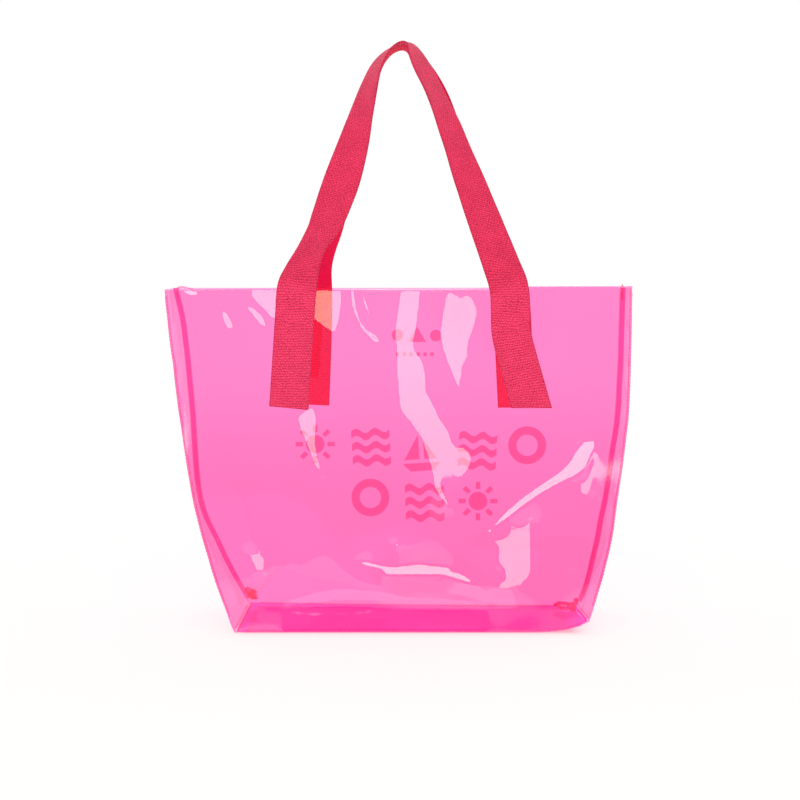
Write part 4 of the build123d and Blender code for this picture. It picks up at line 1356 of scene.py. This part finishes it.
# ---------------------------------------------------------------- floor and world
def floor_material():
    """Glowing white floor, part of it shaded around the bag, with its own look in mirrors."""
    material, graph = new_material("floor_white")
    is_mirror = graph.node("ShaderNodeLightPath").outputs["Is Glossy Ray"]
    place = graph.node("ShaderNodeNewGeometry").outputs["Position"]
    distance = graph.node("ShaderNodeVectorMath", {0: place},
                          operation="LENGTH").outputs["Value"]
    x, y, _ = graph.axes(place)
    not_mirror = graph.sub(1.0, is_mirror)
    near = graph.map_range(distance, 1.9, 0.7)      # 1 around the bag, 0 far away
    glow = graph.sub(1.0, graph.mul(near, 0.235))
    # glow seen in mirrors: two steps brighter towards the bag, plain behind it
    wide = graph.mul(graph.map_range(distance, 2.3, 1.9), 0.50)
    close = graph.mul(graph.map_range(distance, 0.46, 0.32), 1.1)
    shine = graph.add(0.2, graph.add(wide, close))
    behind = graph.map_range(y, -0.05, 0.25)
    shine = graph.add(graph.mul(shine, graph.sub(1.0, behind)), graph.mul(glow, behind))
    strength = graph.add(graph.mul(glow, not_mirror), graph.mul(shine, is_mirror))

    # contact shadow: falls off within a few millimetres of the base
    def beyond(offset, half_size):
        return graph.math("MAXIMUM", graph.sub(graph.math("ABSOLUTE", offset), half_size), 0.0)

    beyond_x = beyond(graph.sub(x, 0.004), 0.156)
    beyond_y = beyond(y, 0.070)
    away = graph.math("SQRT", graph.add(graph.mul(beyond_x, beyond_x),
                                        graph.mul(beyond_y, beyond_y)))
    touch = graph.math("POWER", 2.718, graph.math("DIVIDE", away, -0.009))
    touch = graph.mul(touch, not_mirror)
    shadow = (0.05, 0.50, 0.44)             # how much red, green and blue it takes away
    tint = graph.node("ShaderNodeCombineColor", {
        i: graph.sub(1.0, graph.mul(touch, share)) for i, share in enumerate(shadow)})
    emission = graph.node("ShaderNodeEmission", {"Color": tint.outputs[0],
                                                 "Strength": strength})
    grey = graph.node("ShaderNodeCombineColor", {i: graph.mul(near, 0.195) for i in range(3)})
    diffuse = graph.node("ShaderNodeBsdfDiffuse", {"Color": grey.outputs[0]})
    graph.output(graph.node("ShaderNodeAddShader", {
        0: emission.outputs[0], 1: diffuse.outputs[0]}).outputs[0])
    return material


floor_mesh = bpy.data.meshes.new("floor")
floor_mesh.from_pydata([(-6, -6, -0.0004), (6, -6, -0.0004), (6, 8, -0.0004), (-6, 8, -0.0004)],
                       [], [(0, 1, 2, 3)])
link("floor", floor_mesh, [floor_material()])


def build_world():
    """White backdrop behind the bag and a darker room on the camera's side, which only mirror
    rays can tell."""
    world = bpy.data.worlds.new("studio")
    bpy.context.scene.world = world
    world.use_nodes = True
    graph = Graph(world.node_tree)
    rays = graph.node("ShaderNodeLightPath").outputs
    direction = graph.axes(graph.node("ShaderNodeTexCoord").outputs["Generated"])
    backdrop = graph.map_range(direction[1], -0.10, 0.35, to=(0.20, 1.0))
    level = graph.add(graph.mul(rays["Is Camera Ray"], 1.0),
                      graph.mul(rays["Is Diffuse Ray"], 0.85))
    level = graph.add(level, graph.mul(rays["Is Glossy Ray"], backdrop))
    background = graph.node("ShaderNodeBackground", {"Color": (1, 1, 1, 1), "Strength": level})
    graph.output(background.outputs[0], "ShaderNodeOutputWorld")


build_world()


# ---------------------------------------------------------------- lights and camera
def softbox(name, location, target, width, height, radiance, color=(1, 1, 1)):
    data = bpy.data.lights.new(name, "AREA")
    data.shape = "RECTANGLE"
    data.size = width
    data.size_y = height
    data.energy = radiance * math.pi * width * height
    data.color = color
    light = bpy.data.objects.new(name, data)
    bpy.context.scene.collection.objects.link(light)
    light.location = location
    aim = Vector(target) - Vector(location)
    light.rotation_euler = aim.to_track_quat("-Z", "Y").to_euler()
    light.visible_camera = False


WARM = (1.0, 1.0, 0.70)
for name, x, lamp, radiance in (("left_box", -SIDE_LAMP.x, SIDE_LAMP, 4.4),
                                ("right_box", SIDE_LAMP.x, SIDE_LAMP, 4.4),
                                ("top_box", TOP_LAMP.x, TOP_LAMP, 6.4)):
    softbox(name, (x, LAMP_Y / 1000, lamp.z), (x, 0, lamp.z), lamp.width, lamp.height,
            radiance, WARM)
# name, location, width, height, radiance; all aimed at the bag
for name, location, width, height, radiance in (
        ("back_left_box", (-1.5, 2.2, 0.8), 0.7, 1.5, 3.4),
        ("back_right_box", (1.5, 2.2, 0.8), 0.7, 1.5, 3.4),
        ("back_top_box", (0.0, 2.0, 2.4), 1.8, 0.7, 3.0),
        ("left_side_box", (-2.3, 0.2, 0.9), 0.5, 1.5, 2.6),
        ("right_side_box", (2.3, 0.2, 0.9), 0.5, 1.5, 2.6)):
    softbox(name, location, (0, 0, 0.25), width, height, radiance)

camera_data = bpy.data.cameras.new("camera")
camera_data.sensor_width = 36
camera_data.lens = CAMERA_LENS
camera_data.clip_start = 0.05
camera_data.clip_end = 50
camera = bpy.data.objects.new("camera", camera_data)
scene = bpy.context.scene
scene.collection.objects.link(camera)
camera.location = Vector(CAMERA) * 0.001
camera.rotation_euler = (math.radians(90 - CAMERA_PITCH), 0, 0)
scene.camera = camera

scene.view_settings.view_transform = "Standard"
scene.view_settings.look = "None"
scene.cycles.transparent_max_bounces = 64
scene.cycles.max_bounces = 16
scene.cycles.glossy_bounces = 6
